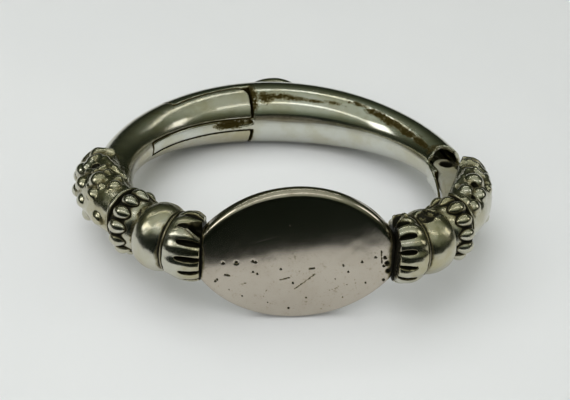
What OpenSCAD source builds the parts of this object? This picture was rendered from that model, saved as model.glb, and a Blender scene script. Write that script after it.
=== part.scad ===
/* [Ring] */
// Radius of the ring's centre line
ring_r = 34; // [33:0.5:35]
// Radius of the round tube at the middle of the back
tube_r_rear = 6.8; // [6:0.1:7.2]
// Radius of the round tube at the sides
tube_r_side = 3.8; // [3.6:0.1:4.2]
// Thickness of the hollow arm's sheet
sheet = 0.8; // [0.6:0.1:1]
// Radius of the core rod under the collars
core_r = 3; // [2.6:0.1:3.2]
// Radius of the tighter bend at the two front corners
corner_r = 24; // [23:0.5:25]
// Angle from the front at which that bend runs into the ring
corner_az = 66.5; // [65:0.5:68]

/* [Lap joint] */
// Angle from the front at which the slot for the tongue's web begins
web_az = 114.8; // [112:0.2:117]
// Angle from the front at which the arm's outer half begins
half_az = 135.5; // [132:0.5:139]
// Angle from the front at which the fingers of the fork end
finger_az = 167; // [162:0.5:169]
// Height of the tongue's web
web_h = 2.9; // [2.4:0.1:3.4]
// Radius at which the section is split into fingers and outer half
split_r = 33.2; // [32.5:0.1:34]
// Gap along the seams of the lap
seam = 0.2; // [0.15:0.05:0.3]
// Gap past the ends of the fingers
end_gap = 0.8; // [0.5:0.1:1.2]
// Radius of the upper finger's rounded corner
finger_round = 3; // [2:0.5:4]

/* [Hinge] */
// Angle of the hinge pin from the front
hinge_az = 100.8; // [100:0.1:102]
// Distance of the hinge pin from the ring's middle
hinge_r = 33.8; // [33.5:0.1:34.2]
// Diameter of the hole through the lug
pin_hole_d = 2.6; // [2.2:0.1:2.8]
// Clearance between the pin and the hole, on the radius
pin_fit = 0.05; // [0.02:0.01:0.1]
// Radius of the lug's rounded end
eye_r = 2.6; // [2.4:0.1:2.8]
// Height of the lug's eye over the middle plane
eye_top = 1.1; // [0.6:0.1:1.6]
// Height of the flat shank in front of the eye
shank_top = 2.8; // [2.4:0.1:3]
// Radius of the right shank's round core
shank_r = 3.35; // [3.2:0.05:3.4]
// Depth of the lug under the middle plane
lug_bottom = 2; // [1.6:0.1:2.2]
// Width of the lug's neck outside the pin's line
neck_out = 1.9; // [1.6:0.1:2.2]
// Depth of the pin's top under the middle plane
pin_sunk = 0.7; // [0.4:0.1:1.2]
// Angle at which the arm's roof is cut square
roof_az = 104; // [103:0.5:107]
// Angle at which the arm's thin inner wall ends
flap_az = 79; // [77:1:84]
// Swing of the arm, in degrees
swing = 50; // [40:1:50]

/* [Plaque] */
// Half height of the plaque
plaque_h = 12.8; // [12:0.1:14]
// How far the plaque's middle lies under the ring's middle plane
plaque_drop = 0.4; // [0:0.1:0.5]
// Radius of the plaque's upper and lower edge
plaque_arc = 20.8; // [18:0.1:26]
// Thickness of the plaque
plaque_t = 3; // [2:0.1:3.5]
// Distance of the plaque's face from the ring's middle
plaque_y = 29.3; // [29:0.1:29.6]
// Radius of the face's swell from top to bottom
plaque_swell = 110; // [80:5:200]
// Turn of the plaque's face to the right
plaque_turn = 3.7; // [2:0.1:5]
// Lean of the plaque in its own plane
plaque_lean = 1.75; // [0:0.25:3]

/* [Collars] */
// Place on the corner's bend, in degrees, at which the melon collar meets the plaque
melon_az = 17.6; // [17:0.1:18]
// Place at which the smooth bead begins
bead_az = 30.4; // [30:0.1:31]
// Place at which the notched collar begins
notched_az = 44.1; // [44:0.1:44.6]
// Place at which the notched collar ends
notched_end_az = 58.6; // [58.2:0.1:59]
// Radius of the melon collar
melon_r = 6.2; // [6:0.1:6.4]
// Number of petals round the melon collar
melon_petals = 13; // [11:1:15]
// Radius of the smooth bead
bead_r = 6.1; // [6:0.1:6.4]
// Radius of the notched collar
notched_r = 6.2; // [6:0.1:6.3]
// Number of petals round the notched collar
notched_petals = 12; // [10:1:13]
// Radius of the thin ring between melon collar and bead
spacer_r = 5.6; // [5.2:0.1:5.7]

/* [Right corner] */
// Place at which the right melon collar meets the plaque
right_melon_az = 18.8; // [18.4:0.1:19]
// Place at which the right bead begins
right_bead_az = 29.4; // [29:0.1:29.8]
// Place at which the right notched collar begins
right_notched_az = 43.4; // [43:0.1:43.8]
// Place at which the right notched collar ends
right_end_az = 58.3; // [58:0.1:58.6]
// Radius of the right bead
right_bead_r = 5.9; // [5.8:0.1:6.2]

/* [Granulated shells] */
// Angle from the front at which the shell soldered to each shank begins
shell_az = 58; // [57:0.5:59]
// Angle at which that shell ends
shell_end_az = 93.4; // [92:0.2:94]
// How much further out the left shell bulges than the right one
shell_step = 0.8; // [0:0.1:1]
// Radius of the wire round the shell's back end
rim_r = 0.8; // [0.6:0.1:1]
// Distance from the ring's middle to the flat that leaves the wrist's side bare
bare_r = 31; // [30.6:0.1:31.4]

/* [Rosette] */
// Angle of the rosette from the front
rosette_az = 181; // [179:0.5:182]
// Half height of the rosette
rosette_r = 5.6; // [5.2:0.1:5.8]
// Half width of the rosette, which is a little longer along the arm
rosette_w = 7.5; // [6.6:0.1:7.8]
// Number of petals of the rosette
rosette_petals = 10; // [8:1:12]

/* [Hidden] */
$fn = 64;

// Gap between threaded pieces and between a piece and its core
slip = 0.05;
// Lengths past every piece, for cutters
far = 90;
near = 20;
// Sides of the swept tube and the angle between its rings
tube_sides = 28;
ring_step = 4;

// Middle of the bend at the right front corner
corner_x = (ring_r - corner_r) * sin(corner_az);
corner_y = -(ring_r - corner_r) * cos(corner_az);

// How far along the bend a thin ring takes
thin = 1.2;

// The planes between the collars of the left corner and of the right one: place on the bend, and
// the angle from the front that each faces. The collars were set a little less turned than the
// bend, more so on the right, so the angles lag behind the places.
PLAQUE_END = [[melon_az, 7.5], [right_melon_az, 5.5]];
MELON_END = [[bead_az - thin, 27], [right_bead_az - thin, 21]];
RING_END = [[bead_az, 28.5], [right_bead_az, 22.5]];
BEAD_END = [[notched_az, 34], [right_notched_az, 28]];
COLLAR_END = [[notched_end_az, 43], [right_end_az, 33]];

// The plane of one side
function of(planes, side) = planes[side < 0 ? 0 : 1];

// Lays a shape drawn along X at a distance from the middle, at an angle from the front
module at(az, r = 0) {
    rotate([0, 0, az - 90]) translate([r, 0, 0]) children();
}

// A point on the corner's bend
function bend(az) = [corner_x + corner_r * sin(az), corner_y - corner_r * cos(az), 0];

// Lays a shape drawn about the Y axis on the bend, with that axis facing an angle from the front
module on_bend(az, facing) {
    translate(bend(az)) rotate([0, 0, facing - 90]) children();
}

// Everything on the front or the back side of one of the planes, short of it by a gap
module before(plane, gap) {
    on_bend(plane[0], plane[1]) translate([-near, -2 * near + gap, -near])
        cube([2 * near, 2 * near, 2 * near]);
}

module after(plane, gap) {
    on_bend(plane[0], plane[1]) translate([-near, -gap, -near]) cube([2 * near, 2 * near, 2 * near]);
}

// The shape on the right as it is, or its mirror image on the left
module on_side(side) {
    mirror([side < 0 ? 1 : 0, 0, 0]) children();
}

// The tube's radius at an angle from the front: it swells towards the back
function tube_r(az) =
    abs(az) < 90 ? tube_r_side
    : tube_r_side + (tube_r_rear - tube_r_side) * pow(cos(az), 2);

// The tube's line, radius and height at an angle from the front, made thinner by cut
function tube_path(az, cut = 0) = [ring_r, tube_r(az) - cut, 0];

// The granulated shell at its front end, its middle and its back end
SHELL = [
    // distance of its line from the ring's middle, radius, height over the middle plane
    [33.9, 4.2, 0.7],
    [35, 5, 0.5],
    [35.2, 4.5, 0]
];

// The shell's line, radius and height at an angle from the front, its middle stepped out
function shell_path(az, step) =
    let (t = (az - shell_az) / (shell_end_az - shell_az), bulge = SHELL[1] - (SHELL[0] + SHELL[2]) / 2)
    SHELL[0] + (SHELL[2] - SHELL[0]) * t + 4 * (bulge + [step, 0, 0]) * t * (1 - t);

// A point of a section: path is line, radius and height
function on_section(az, path, a) =
    let (out = path[0] + path[1] * cos(a))
    [out * sin(az), -out * cos(az), path[2] + path[1] * sin(a)];

// A round section swept round the ring from one angle to another along a path
module sweep(az0, az1, path, sides = tube_sides) {
    rings = ceil(abs(az1 - az0) / ring_step);
    points = [
        for (i = [0 : rings])
            let (az = az0 + (az1 - az0) * i / rings, here = path(az))
            for (k = [0 : sides - 1]) on_section(az, here, 360 * k / sides)
    ];
    walls = [
        for (i = [0 : rings - 1], k = [0 : sides - 1])
            let (a = i * sides + k, b = i * sides + (k + 1) % sides)
            each [[a, b, a + sides], [b, b + sides, a + sides]]
    ];
    first = [for (k = [sides - 1 : -1 : 0]) k];
    last = [for (k = [0 : sides - 1]) rings * sides + k];
    polyhedron(points, concat([first], walls, [last]));
}

// A sector of a flat ring between two angles, radii and heights
module sector(az0, az1, r0, r1, z0, z1) {
    translate([0, 0, z0]) rotate_extrude(angle = az1 - az0, start = az0 - 90)
        translate([r0, 0]) square([r1 - r0, z1 - z0]);
}

// A round rod along the corner's bend
module corner_rod(az0, az1, r) {
    translate([corner_x, corner_y, 0])
        rotate_extrude(angle = az1 - az0, start = az0 - 90) translate([corner_r, 0]) circle(r = r);
}

// The core that the collars are threaded on, from the plaque's end into the shank
module corner_core(side) {
    difference() {
        corner_rod(melon_az - 12, corner_az + 1, core_r);
        before(of(PLAQUE_END, side), 0);
    }
}

// Granules on the left shell: angle from the front, angle over the middle plane, radius
GRAINS_LEFT = [
    // az, over, radius
    [72.4, 67, 1.9], [66.5, 86, 1.4], [77.1, 28, 1.5],
    [69.2, 36, 1.2], [64.4, -7, 1.4], [84, 40, 1.6],
    [86.4, 64, 1.3], [86.6, 84, 1.2], [82.6, 100, 1.2],
    [91, 72, 1.6], [73.4, 2, 1.3], [80, 2, 1.4], [86.4, 14, 1.5],
    [73, -36, 1.2], [80.4, -32, 1.3], [87.6, -28, 1.2]
];

// Granules on the right shell
GRAINS_RIGHT = [
    // az, over, radius
    [75.6, 78, 1.9], [68.3, 88, 1.4], [69.8, 53, 1.5],
    [62, 72, 1.3], [63, 48, 1.4], [82.4, 48, 1.4],
    [88.3, 80, 1.3], [82, 106, 1.2], [74.6, 106, 1.1],
    [76.4, 36, 1.2], [75, -34, 1.2], [83.6, -30, 1.3]
];

// The shell soldered to the outer side of a shank, with its back rim and its granules
module granulated_shell(side, grains, step) {
    // How deep a granule sits, as a share of its radius
    sunk = 0.35;
    back = shell_path(shell_end_az - rim_r, step);
    difference() {
        union() {
            // It starts within the last collar, whose plane cuts it
            sweep(shell_az - 3, shell_end_az, function (az) shell_path(az, step), 24);
            at(shell_end_az - 1.5, back[0]) translate([0, 0, back[2]]) rotate([90, 0, 0])
                rotate_extrude() translate([back[1], 0]) circle(r = rim_r);
            for (grain = grains)
                let (here = shell_path(grain[0], step) - [0, sunk * grain[2], 0])
                translate(on_section(grain[0], here, grain[1])) sphere(r = grain[2]);
        }
        // The flat lies across the shank, so that more of it is bare towards the back
        at(bare_az) translate([bare_r - near, -near, -near]) cube([near, 2 * near, 2 * near]);
        before(of(COLLAR_END, side), slip);
    }
}

// Angle that the flat on the wrist's side faces
bare_az = 68.5;
// Thickness of the metal round the hollow under the granules
shell_wall = 1;

module left_shank() color([0.52, 0.52, 0.46]) on_side(-1) difference() {
    union() {
        sweep(corner_az, finger_az, function (az) tube_path(az));
        corner_core(-1);
        granulated_shell(-1, GRAINS_LEFT, shell_step);
    }
    // The shell and the tube are hollow, open at the slot
    sweep(shell_az + 7, shell_end_az - 2,
        function (az) shell_path(az, shell_step) - [0, shell_wall, 0], 16);
    sweep(shell_end_az - 4, web_az + 1, function (az) tube_path(az, sheet), 16);
    // The slot for the tongue's web runs right through, from inside to outside
    sector(web_az, finger_az + 1, ring_r / 2, far, -web_h / 2, web_h / 2);
    // The outer half is left to the arm
    sector(half_az, finger_az + 1, split_r - seam, far, -far, far);
    // The upper finger's outer corner is rounded
    at(finger_az) translate([split_r - seam, 0, 0]) finger_corner();
}

// What is cut away to round the upper finger's corner, seen from above
module finger_corner() {
    linear_extrude(height = far) difference() {
        translate([-finger_round, -finger_round]) square(finger_round + 1);
        translate([-finger_round, -finger_round]) circle(r = finger_round);
    }
}

// Length of the lug from the pin to the round core
lug_length = 7;
// Place in front of the pin where the ramp up to the shank starts, and its length
ramp_start = 2.2;
ramp_run = 2.4;

module right_shank() color([0.55, 0.54, 0.45]) difference() {
    union() {
        corner_core(1);
        difference() {
            union() {
                sweep(corner_az, hinge_az - 8.2, function (az) [ring_r, shank_r, 0]);
                at(hinge_az, hinge_r) translate([0, 0, -lug_bottom])
                    linear_extrude(height = 2 * lug_bottom + shank_top) lug_outline();
            }
            at(hinge_az, hinge_r) shank_flat();
        }
        granulated_shell(1, GRAINS_RIGHT, 0);
    }
    at(hinge_az, hinge_r) translate([0, 0, -near]) cylinder(d = pin_hole_d, h = 2 * near);
}

// The lug's outline seen from above, with the pin at the origin and the front towards -Y
module lug_outline() {
    circle(r = eye_r);
    translate([-eye_r, -lug_length]) square([eye_r + neck_out, lug_length]);
}

// The shank is hammered flat on top and falls by a ramp to the lower eye, seen from the side
module shank_flat() {
    translate([-near, 0, 0]) rotate([90, 0, 90]) linear_extrude(height = 2 * near)
        polygon([
            [near, eye_top], [-ramp_start, eye_top], [-ramp_start - ramp_run, shank_top],
            [-far, shank_top], [-far, near], [near, near]
        ]);
}

// The plate's outline: two arcs; its ends are cut by the collars' first planes
module plaque_outline() {
    intersection() {
        translate([0, plaque_h - plaque_arc]) circle(r = plaque_arc, $fn = 128);
        translate([0, plaque_arc - plaque_h]) circle(r = plaque_arc, $fn = 128);
    }
}

module plaque() color([0.66, 0.62, 0.55]) difference() {
    union() {
        translate([0, -plaque_y, -plaque_drop]) rotate([0, plaque_lean, plaque_turn]) intersection() {
            translate([0, plaque_t, 0]) rotate([90, 0, 0]) linear_extrude(height = plaque_t)
                plaque_outline();
            // The face swells a little from its upper to its lower edge
            translate([-far / 2, plaque_swell, 0]) rotate([0, 90, 0])
                cylinder(r = plaque_swell, h = far, $fn = 256);
        }
        for (side = [-1, 1]) on_side(side) plaque_neck();
    }
    for (side = [-1, 1]) on_side(side) after(of(PLAQUE_END, side), slip);
}

// A short round neck on the back of the plate, which meets the end of the core
module plaque_neck() {
    difference() {
        corner_rod(melon_az - 14, melon_az + 10, core_r - 0.2);
        translate([0, -plaque_y - near + 1.8, -near]) cube([near + 4, near, 2 * near]);
    }
}

// Distance between two places on the bend
function span(from, to) = norm(bend(to[0]) - bend(from[0]));

// Stands a turned piece between two planes, first face towards the plaque, and drills it for the core
module threaded(from, to) {
    difference() {
        translate((bend(from[0]) + bend(to[0])) / 2) rotate([0, 0, (from[1] + to[1]) / 2 - 90])
            rotate([-90, 0, 0]) children();
        before(from, slip / 2);
        after(to, slip / 2);
        corner_rod(from[0] - 25, to[0] + 25, core_r + slip);
    }
}

// A turned bead: an arc that swells to r over the length and falls to end_r at both ends
module lens(length, r, end_r) {
    half = length / 2;
    rise = r - end_r;
    arc = (half * half + rise * rise) / (2 * rise);
    rotate_extrude() intersection() {
        translate([0, -half]) square([r, length]);
        translate([r - arc, 0]) circle(r = arc, $fn = 96);
    }
}

// A wedge that cuts one notch, deepest at the first face and run out at reach
module notch(length, r, depth, width, reach) {
    translate([r - depth, 0, -length / 2]) rotate([0, atan(depth / reach), 0])
        translate([0, 0, -1]) linear_extrude(height = 2 * reach)
            polygon([[0, 0], [3 * depth, 1.5 * width], [3 * depth, -1.5 * width]]);
}

module melon_collar(side) on_side(side) {
    from = of(PLAQUE_END, side);
    to = of(MELON_END, side);
    length = span(from, to) + 1.8;
    threaded(from, to) difference() {
        lens(length, melon_r, 4.2);
        for (k = [0 : melon_petals - 1]) rotate([0, 0, 360 * (k + 0.5) / melon_petals])
            notch(length, melon_r, 2.4, 1.5, length);
    }
}

module melon_collar_left() color([0.58, 0.57, 0.5]) melon_collar(-1);
module melon_collar_right() color([0.58, 0.57, 0.5]) melon_collar(1);

module spacer_ring(side) on_side(side) threaded(of(MELON_END, side), of(RING_END, side))
    cylinder(r = spacer_r, h = 3, center = true);

module spacer_ring_left() color([0.4, 0.38, 0.28]) spacer_ring(-1);
module spacer_ring_right() color([0.4, 0.38, 0.28]) spacer_ring(1);

module smooth_bead(side) on_side(side) {
    from = of(RING_END, side);
    to = of(BEAD_END, side);
    threaded(from, to) lens(span(from, to) + 0.6, side < 0 ? bead_r : right_bead_r, 4.7);
}

module smooth_bead_left() color([0.6, 0.59, 0.52]) smooth_bead(-1);

// The right bead has been knocked in on top, on the wrist's side
module smooth_bead_right() color([0.6, 0.59, 0.52]) difference() {
    smooth_bead(1);
    translate(bend(35.4) + [0, 1.4, right_bead_r + 1.1]) sphere(r = 2.6);
}

// A row of round petals on a narrower sleeve
module notched_collar(side) on_side(side) {
    // Radius of a petal, of the sleeve, and how far the row stands towards the shell
    petal = 1.45;
    sleeve_r = 4.6;
    ahead = 0.8;
    from = of(BEAD_END, side);
    to = of(COLLAR_END, side);
    threaded(from, to) {
        lens(span(from, to) + 1, sleeve_r, sleeve_r - 0.6);
        for (k = [0 : notched_petals - 1]) rotate([0, 0, 360 * (k + 0.5) / notched_petals])
            translate([notched_r - petal, 0, ahead]) sphere(r = petal);
    }
}

module notched_collar_left() color([0.5, 0.48, 0.4]) notched_collar(-1);
module notched_collar_right() color([0.5, 0.48, 0.4]) notched_collar(1);

// Radius of the pocket that lets the lug's eye turn in the arm
pocket_r = eye_r + 0.25;
// Where the thin inner wall lies and how thick it is
flap_r = ring_r - 4;
flap_t = 0.5;

module rear_arm() color([0.5, 0.52, 0.45]) difference() {
    union() {
        sweep(hinge_az - 4.6, 360 - web_az - 0.6, function (az) tube_path(az));
        flap();
    }
    // The sheet's hollow, open at the hinge, goes on into the outer half
    difference() {
        sweep(flap_az - 1, 360 - half_az - 2, function (az) tube_path(az, sheet), 16);
        sector(360 - finger_az - 3, 360 - half_az, 0, split_r + 1.1 * sheet, -near, near);
    }
    tongue_cuts();
    hinge_cuts();
    // The rosette's shank goes through the sheet
    at(rosette_az, ring_r) rotate([0, 90, 0]) cylinder(r = 1.05, h = near);
}

// The arm's thin inner wall goes on past the pin and tapers to a point
module flap() {
    difference() {
        sector(flap_az, hinge_az, flap_r, flap_r + flap_t, -2.4, 1.6);
        // Its upper edge falls towards its end
        at(flap_az) rotate([13, 0, 0]) translate([0, -near / 2, -1.7]) cube([far, 2 * near, near]);
        // A small slit near the pin
        at(hinge_az - 3.2, flap_r) translate([0, 0, -1.2]) cube([4, 1.5, 0.6], center = true);
    }
}

// What the fork's fingers take from the arm, on the left side
module tongue_cuts() mirror([1, 0, 0]) {
    for (side = [-1, 1]) mirror([0, 0, side < 0 ? 1 : 0]) {
        sector(web_az - 2, finger_az + end_gap * 1.6, 0, split_r, web_h / 2 - seam, far);
        sector(web_az - 2, half_az + seam, 0, far, web_h / 2 - seam, far);
    }
}

// What is open at the arm's hinge end: roof, outer wall and the lug's turn
module hinge_cuts() {
    // The roof is cut square over the lug
    sector(flap_az - 2, roof_az, ring_r - tube_r_side + 1.5 * sheet, far, 0.15, far);
    sector(flap_az - 2, roof_az, 0, far, eye_top, far);
    at(hinge_az, hinge_r) {
        translate([0, 0, -lug_bottom - 0.3]) cylinder(r = pocket_r, h = near);
        // The lug's bar sweeps this sector as the arm swings out
        translate([0, 0, -lug_bottom - 0.3]) linear_extrude(height = near) sweep_outline();
        // The outer wall stays clear of the shell's end
        translate([0, 0, -near]) linear_extrude(height = 2 * near) polygon([
            [0.4, -4], [near, -4], [near, 1.2], [tube_r_side - 1.2, 1.2]
        ]);
        translate([0, 0, -near]) cylinder(d = pin_hole_d, h = 2 * near);
    }
}

// The ground covered by the lug's neck as the arm turns, seen from above
module sweep_outline() {
    for (a = [0 : swing / 5 : swing]) rotate(a)
        translate([-eye_r - 0.15, -lug_length - 3]) square([eye_r + neck_out + 0.45, lug_length + 3]);
}

module rosette() color([0.5, 0.5, 0.42]) difference() {
    // Height of the rosette's plate over the ring's centre line, and the radius of its petals
    plate = tube_r_rear + 0.5;
    petal = 1.6;
    at(rosette_az, ring_r) rotate([0, 90, 0]) {
        cylinder(r = rosette_r - 0.7, h = plate);
        for (side = [-1, 1]) translate([0, side * (rosette_w - 4.9), 0])
            cylinder(r = 4.2, h = plate - 0.1);
        translate([0, 0, plate - 0.3]) sphere(r = 1.8);
        for (k = [0 : rosette_petals - 1])
            let (a = 360 * k / rosette_petals)
            translate([(rosette_r - petal) * cos(a), (rosette_w - petal) * sin(a), plate - 0.6])
                sphere(r = petal);
    }
    // The back of the plate is hollowed to sit on the tube, all but the shank
    difference() {
        rotate_extrude(angle = 40, start = rosette_az - 110, $fn = 180)
            translate([ring_r, 0]) circle(r = tube_r_rear + slip, $fn = 180);
        at(rosette_az, ring_r + tube_r_rear - 1.6) rotate([0, 90, 0]) cylinder(r = 1, h = 5);
    }
}

module hinge_pin() color([0.3, 0.29, 0.25]) at(hinge_az, hinge_r)
    translate([0, 0, -tube_r_side]) cylinder(d = pin_hole_d - 2 * pin_fit, h = tube_r_side - pin_sunk);

// The bracelet lies on the plaque's lower edge and on the back of the arm, its front tipped up
rest_pitch = -6.04;
rest_roll = -0.73;
// Brings the middle of the footprint to the origin and the lowest point to the ground
rest_shift = [0.418, -5.335, 10.357];

module resting() {
    translate(rest_shift) rotate([rest_pitch, rest_roll, 0]) children();
}

resting() left_shank();
resting() right_shank();
resting() plaque();
resting() melon_collar_left();
resting() melon_collar_right();
resting() spacer_ring_left();
resting() spacer_ring_right();
resting() smooth_bead_left();
resting() smooth_bead_right();
resting() notched_collar_left();
resting() notched_collar_right();
resting() rear_arm();
resting() rosette();
resting() hinge_pin();
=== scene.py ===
"""Dresses the silver bracelet: worn metal, granulated shoulders, turned collars and a pitted plaque."""
import logging
import math
from dataclasses import dataclass, field
from enum import Enum
from typing import Any, Callable, Optional, Sequence

import bpy
import numpy as np
from mathutils import Matrix, Vector
from mathutils.bvhtree import BVHTree


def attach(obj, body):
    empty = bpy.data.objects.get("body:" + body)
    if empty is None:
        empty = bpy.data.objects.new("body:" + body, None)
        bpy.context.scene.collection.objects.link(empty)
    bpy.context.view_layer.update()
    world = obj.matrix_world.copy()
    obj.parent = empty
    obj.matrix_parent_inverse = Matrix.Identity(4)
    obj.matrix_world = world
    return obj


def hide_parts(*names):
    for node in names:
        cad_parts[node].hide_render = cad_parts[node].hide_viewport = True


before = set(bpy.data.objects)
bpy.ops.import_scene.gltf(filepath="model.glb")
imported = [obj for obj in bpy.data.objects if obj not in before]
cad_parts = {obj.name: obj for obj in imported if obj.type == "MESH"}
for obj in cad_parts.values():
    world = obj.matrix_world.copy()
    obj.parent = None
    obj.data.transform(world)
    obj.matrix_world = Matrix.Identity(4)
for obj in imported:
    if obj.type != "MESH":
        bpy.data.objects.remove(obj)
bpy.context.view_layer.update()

LOG = logging.getLogger("bracelet")
MM = 0.001
# Attributes that the finishes read: how closed-in a place is, for tarnish and painted shade in hollows; how
# stained, with painted shade in slots, dents and holes; how matt
MARKS = ("crevice", "stain", "matt")
Points = np.ndarray
Shape = Callable[[Points], np.ndarray]
# What a node's input takes: a number, a colour, a socket or a Number
Feed = Any


class Side(Enum):
    """The two sides of the bracelet, as seen with the plaque in front."""

    LEFT = -1
    RIGHT = 1


class Body(Enum):
    """The two bodies that the hinge joins."""

    FRONT = "front"
    ARM = "arm"


class Slot(Enum):
    """The record's material slots."""

    SHANK = "shank_silver"
    COLLAR = "collar_silver"
    PLAQUE = "plaque_silver"
    ARM = "arm_silver"
    DARK = "dark_silver"


# Ring and rest pose

@dataclass(frozen=True)
class RestPose:
    """How the ring lies on its surface: turned about X, then about Y, then moved, in degrees and mm."""

    pitch: float = -6.04
    roll: float = -0.73
    shift: tuple[float, float, float] = (0.418, -5.335, 10.357)

    def matrix(self) -> Matrix:
        """The matrix from the ring's own frame in mm to the row frame in metres."""
        pitch = Matrix.Rotation(math.radians(self.pitch), 4, "X")
        roll = Matrix.Rotation(math.radians(self.roll), 4, "Y")
        return Matrix.Scale(MM, 4) @ Matrix.Translation(self.shift) @ (roll @ pitch)


REST = RestPose()


@dataclass(frozen=True)
class Ring:
    """The ring's centre line and the tube on it, in mm, with angles in degrees from the front."""

    radius: float = 34.0
    side_r: float = 3.8
    rear_r: float = 6.8
    corner_r: float = 24.0
    corner_az: float = 66.5
    hinge_az: float = 100.8
    hinge_r: float = 33.8

    def tube_r(self, az: np.ndarray) -> np.ndarray:
        """The tube's radius, which swells towards the back."""
        swell = (self.rear_r - self.side_r) * np.cos(np.radians(az)) ** 2
        return self.side_r + np.where((az < 90) | (az > 270), 0.0, swell)

    def bend(self, place: float) -> np.ndarray:
        """A point on the tighter bend at the right front corner."""
        away = self.radius - self.corner_r
        a, c = math.radians(place), math.radians(self.corner_az)
        return np.array([away * math.sin(c) + self.corner_r * math.sin(a),
                         -away * math.cos(c) - self.corner_r * math.cos(a), 0.0])


RING = Ring()


@dataclass(frozen=True)
class Corner:
    """The planes between one corner's turned pieces: place on the bend, and the angle that each faces."""

    plaque: tuple[float, float]
    melon: tuple[float, float]
    ring: tuple[float, float]
    bead: tuple[float, float]
    collar: tuple[float, float]


CORNERS = {Side.LEFT: Corner((17.6, 7.5), (29.2, 27.0), (30.4, 28.5), (44.1, 34.0), (58.6, 43.0)),
           Side.RIGHT: Corner((18.8, 5.5), (28.2, 21.0), (29.4, 22.5), (43.4, 28.0), (58.3, 33.0))}


def outward(az: float) -> np.ndarray:
    """The direction away from the ring's middle at an angle from the front."""
    a = math.radians(az)
    return np.array([math.sin(a), -math.cos(a), 0.0])


def along(az: float) -> np.ndarray:
    """The direction along the ring, towards the back, at an angle from the front."""
    a = math.radians(az)
    return np.array([math.cos(a), math.sin(a), 0.0])


def axes(x: Points, y: Points, z: Points) -> Matrix:
    """The turn whose columns are three axes."""
    return Matrix([(*row, 0.0) for row in np.stack((x, y, z), 1)] + [(0.0, 0.0, 0.0, 1.0)])


def shifted(points: Points, matrix: Matrix) -> Points:
    """Points moved by a matrix."""
    m = np.array(matrix)
    return points @ m[:3, :3].T + m[:3, 3]


# Distances to shapes, in mm: below zero inside

def soft_min(a: np.ndarray, b: np.ndarray, k: float) -> np.ndarray:
    """Joins two shapes with a fillet of size k."""
    h = np.clip(0.5 + 0.5 * (b - a) / k, 0, 1)
    return b + (a - b) * h - k * h * (1 - h)


def soft_max(a: np.ndarray, b: np.ndarray, k: float) -> np.ndarray:
    """Keeps what lies in both shapes, with the edge worn round by k."""
    return -soft_min(-a, -b, k)


def without(a: np.ndarray, b: np.ndarray, k: float = 0.1) -> np.ndarray:
    """Takes the second shape from the first, with the edge worn round by k."""
    return soft_max(a, -b, k)


def corner(a: np.ndarray, b: np.ndarray, r: Feed) -> np.ndarray:
    """Keeps what lies in both half spaces, with a corner of radius r."""
    u, v = a + r, b + r
    return np.minimum(np.maximum(u, v), 0) + np.hypot(np.maximum(u, 0), np.maximum(v, 0)) - r


def polar(p: Points) -> tuple[np.ndarray, np.ndarray, np.ndarray]:
    """Distance from the ring's axis, angle from the front from 0 to 360, and mm for one degree there."""
    rho = np.hypot(p[:, 0], p[:, 1])
    az = np.degrees(np.arctan2(p[:, 0], -p[:, 1])) % 360
    return rho, az, rho * math.radians(1)


def ball(p: Points, centre: Sequence[float], r: float) -> np.ndarray:
    """A ball."""
    return np.linalg.norm(p - np.asarray(centre, float), axis=1) - r


def rod(p: Points, a: np.ndarray, b: np.ndarray, r: float) -> np.ndarray:
    """A round rod between two points."""
    t = np.clip((p - a) @ (b - a) / max(float((b - a) @ (b - a)), 1e-9), 0, 1)
    return np.linalg.norm(p - (a + t[:, None] * (b - a)), axis=1) - r


def plane(p: Points, end: tuple[float, float], gap: float) -> np.ndarray:
    """How far a point lies past one of the planes between the collars, towards the back."""
    return (p - RING.bend(end[0])) @ along(end[1]) - gap


HASH_PRIMES = np.array([73856093, 19349663, 83492791])
HASH_MIX, HASH_TOP = 1274126177, 0xFFFFFF
SEED_STRIDE = 17.31


def lumps(p: Points, size: float, seed: int) -> np.ndarray:
    """Smooth uneven values from -1 to 1.

    Args:
        p: the points.
        size: the lumps' size in mm.
        seed: another seed gives other lumps.

    Returns:
        One value for each point.
    """
    q = p / size + seed * SEED_STRIDE
    base = np.floor(q).astype(np.int64)
    f = q - base
    f = f * f * (3 - 2 * f)
    total = np.zeros(len(p))
    for step in np.ndindex(2, 2, 2):
        g = (base + step) * HASH_PRIMES
        h = g[:, 0] ^ g[:, 1] ^ g[:, 2]
        h = (h ^ (h >> 13)) * HASH_MIX & HASH_TOP
        w = np.where(step, f, 1 - f)
        total += w[:, 0] * w[:, 1] * w[:, 2] * h
    return total / HASH_TOP * 2 - 1


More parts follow.
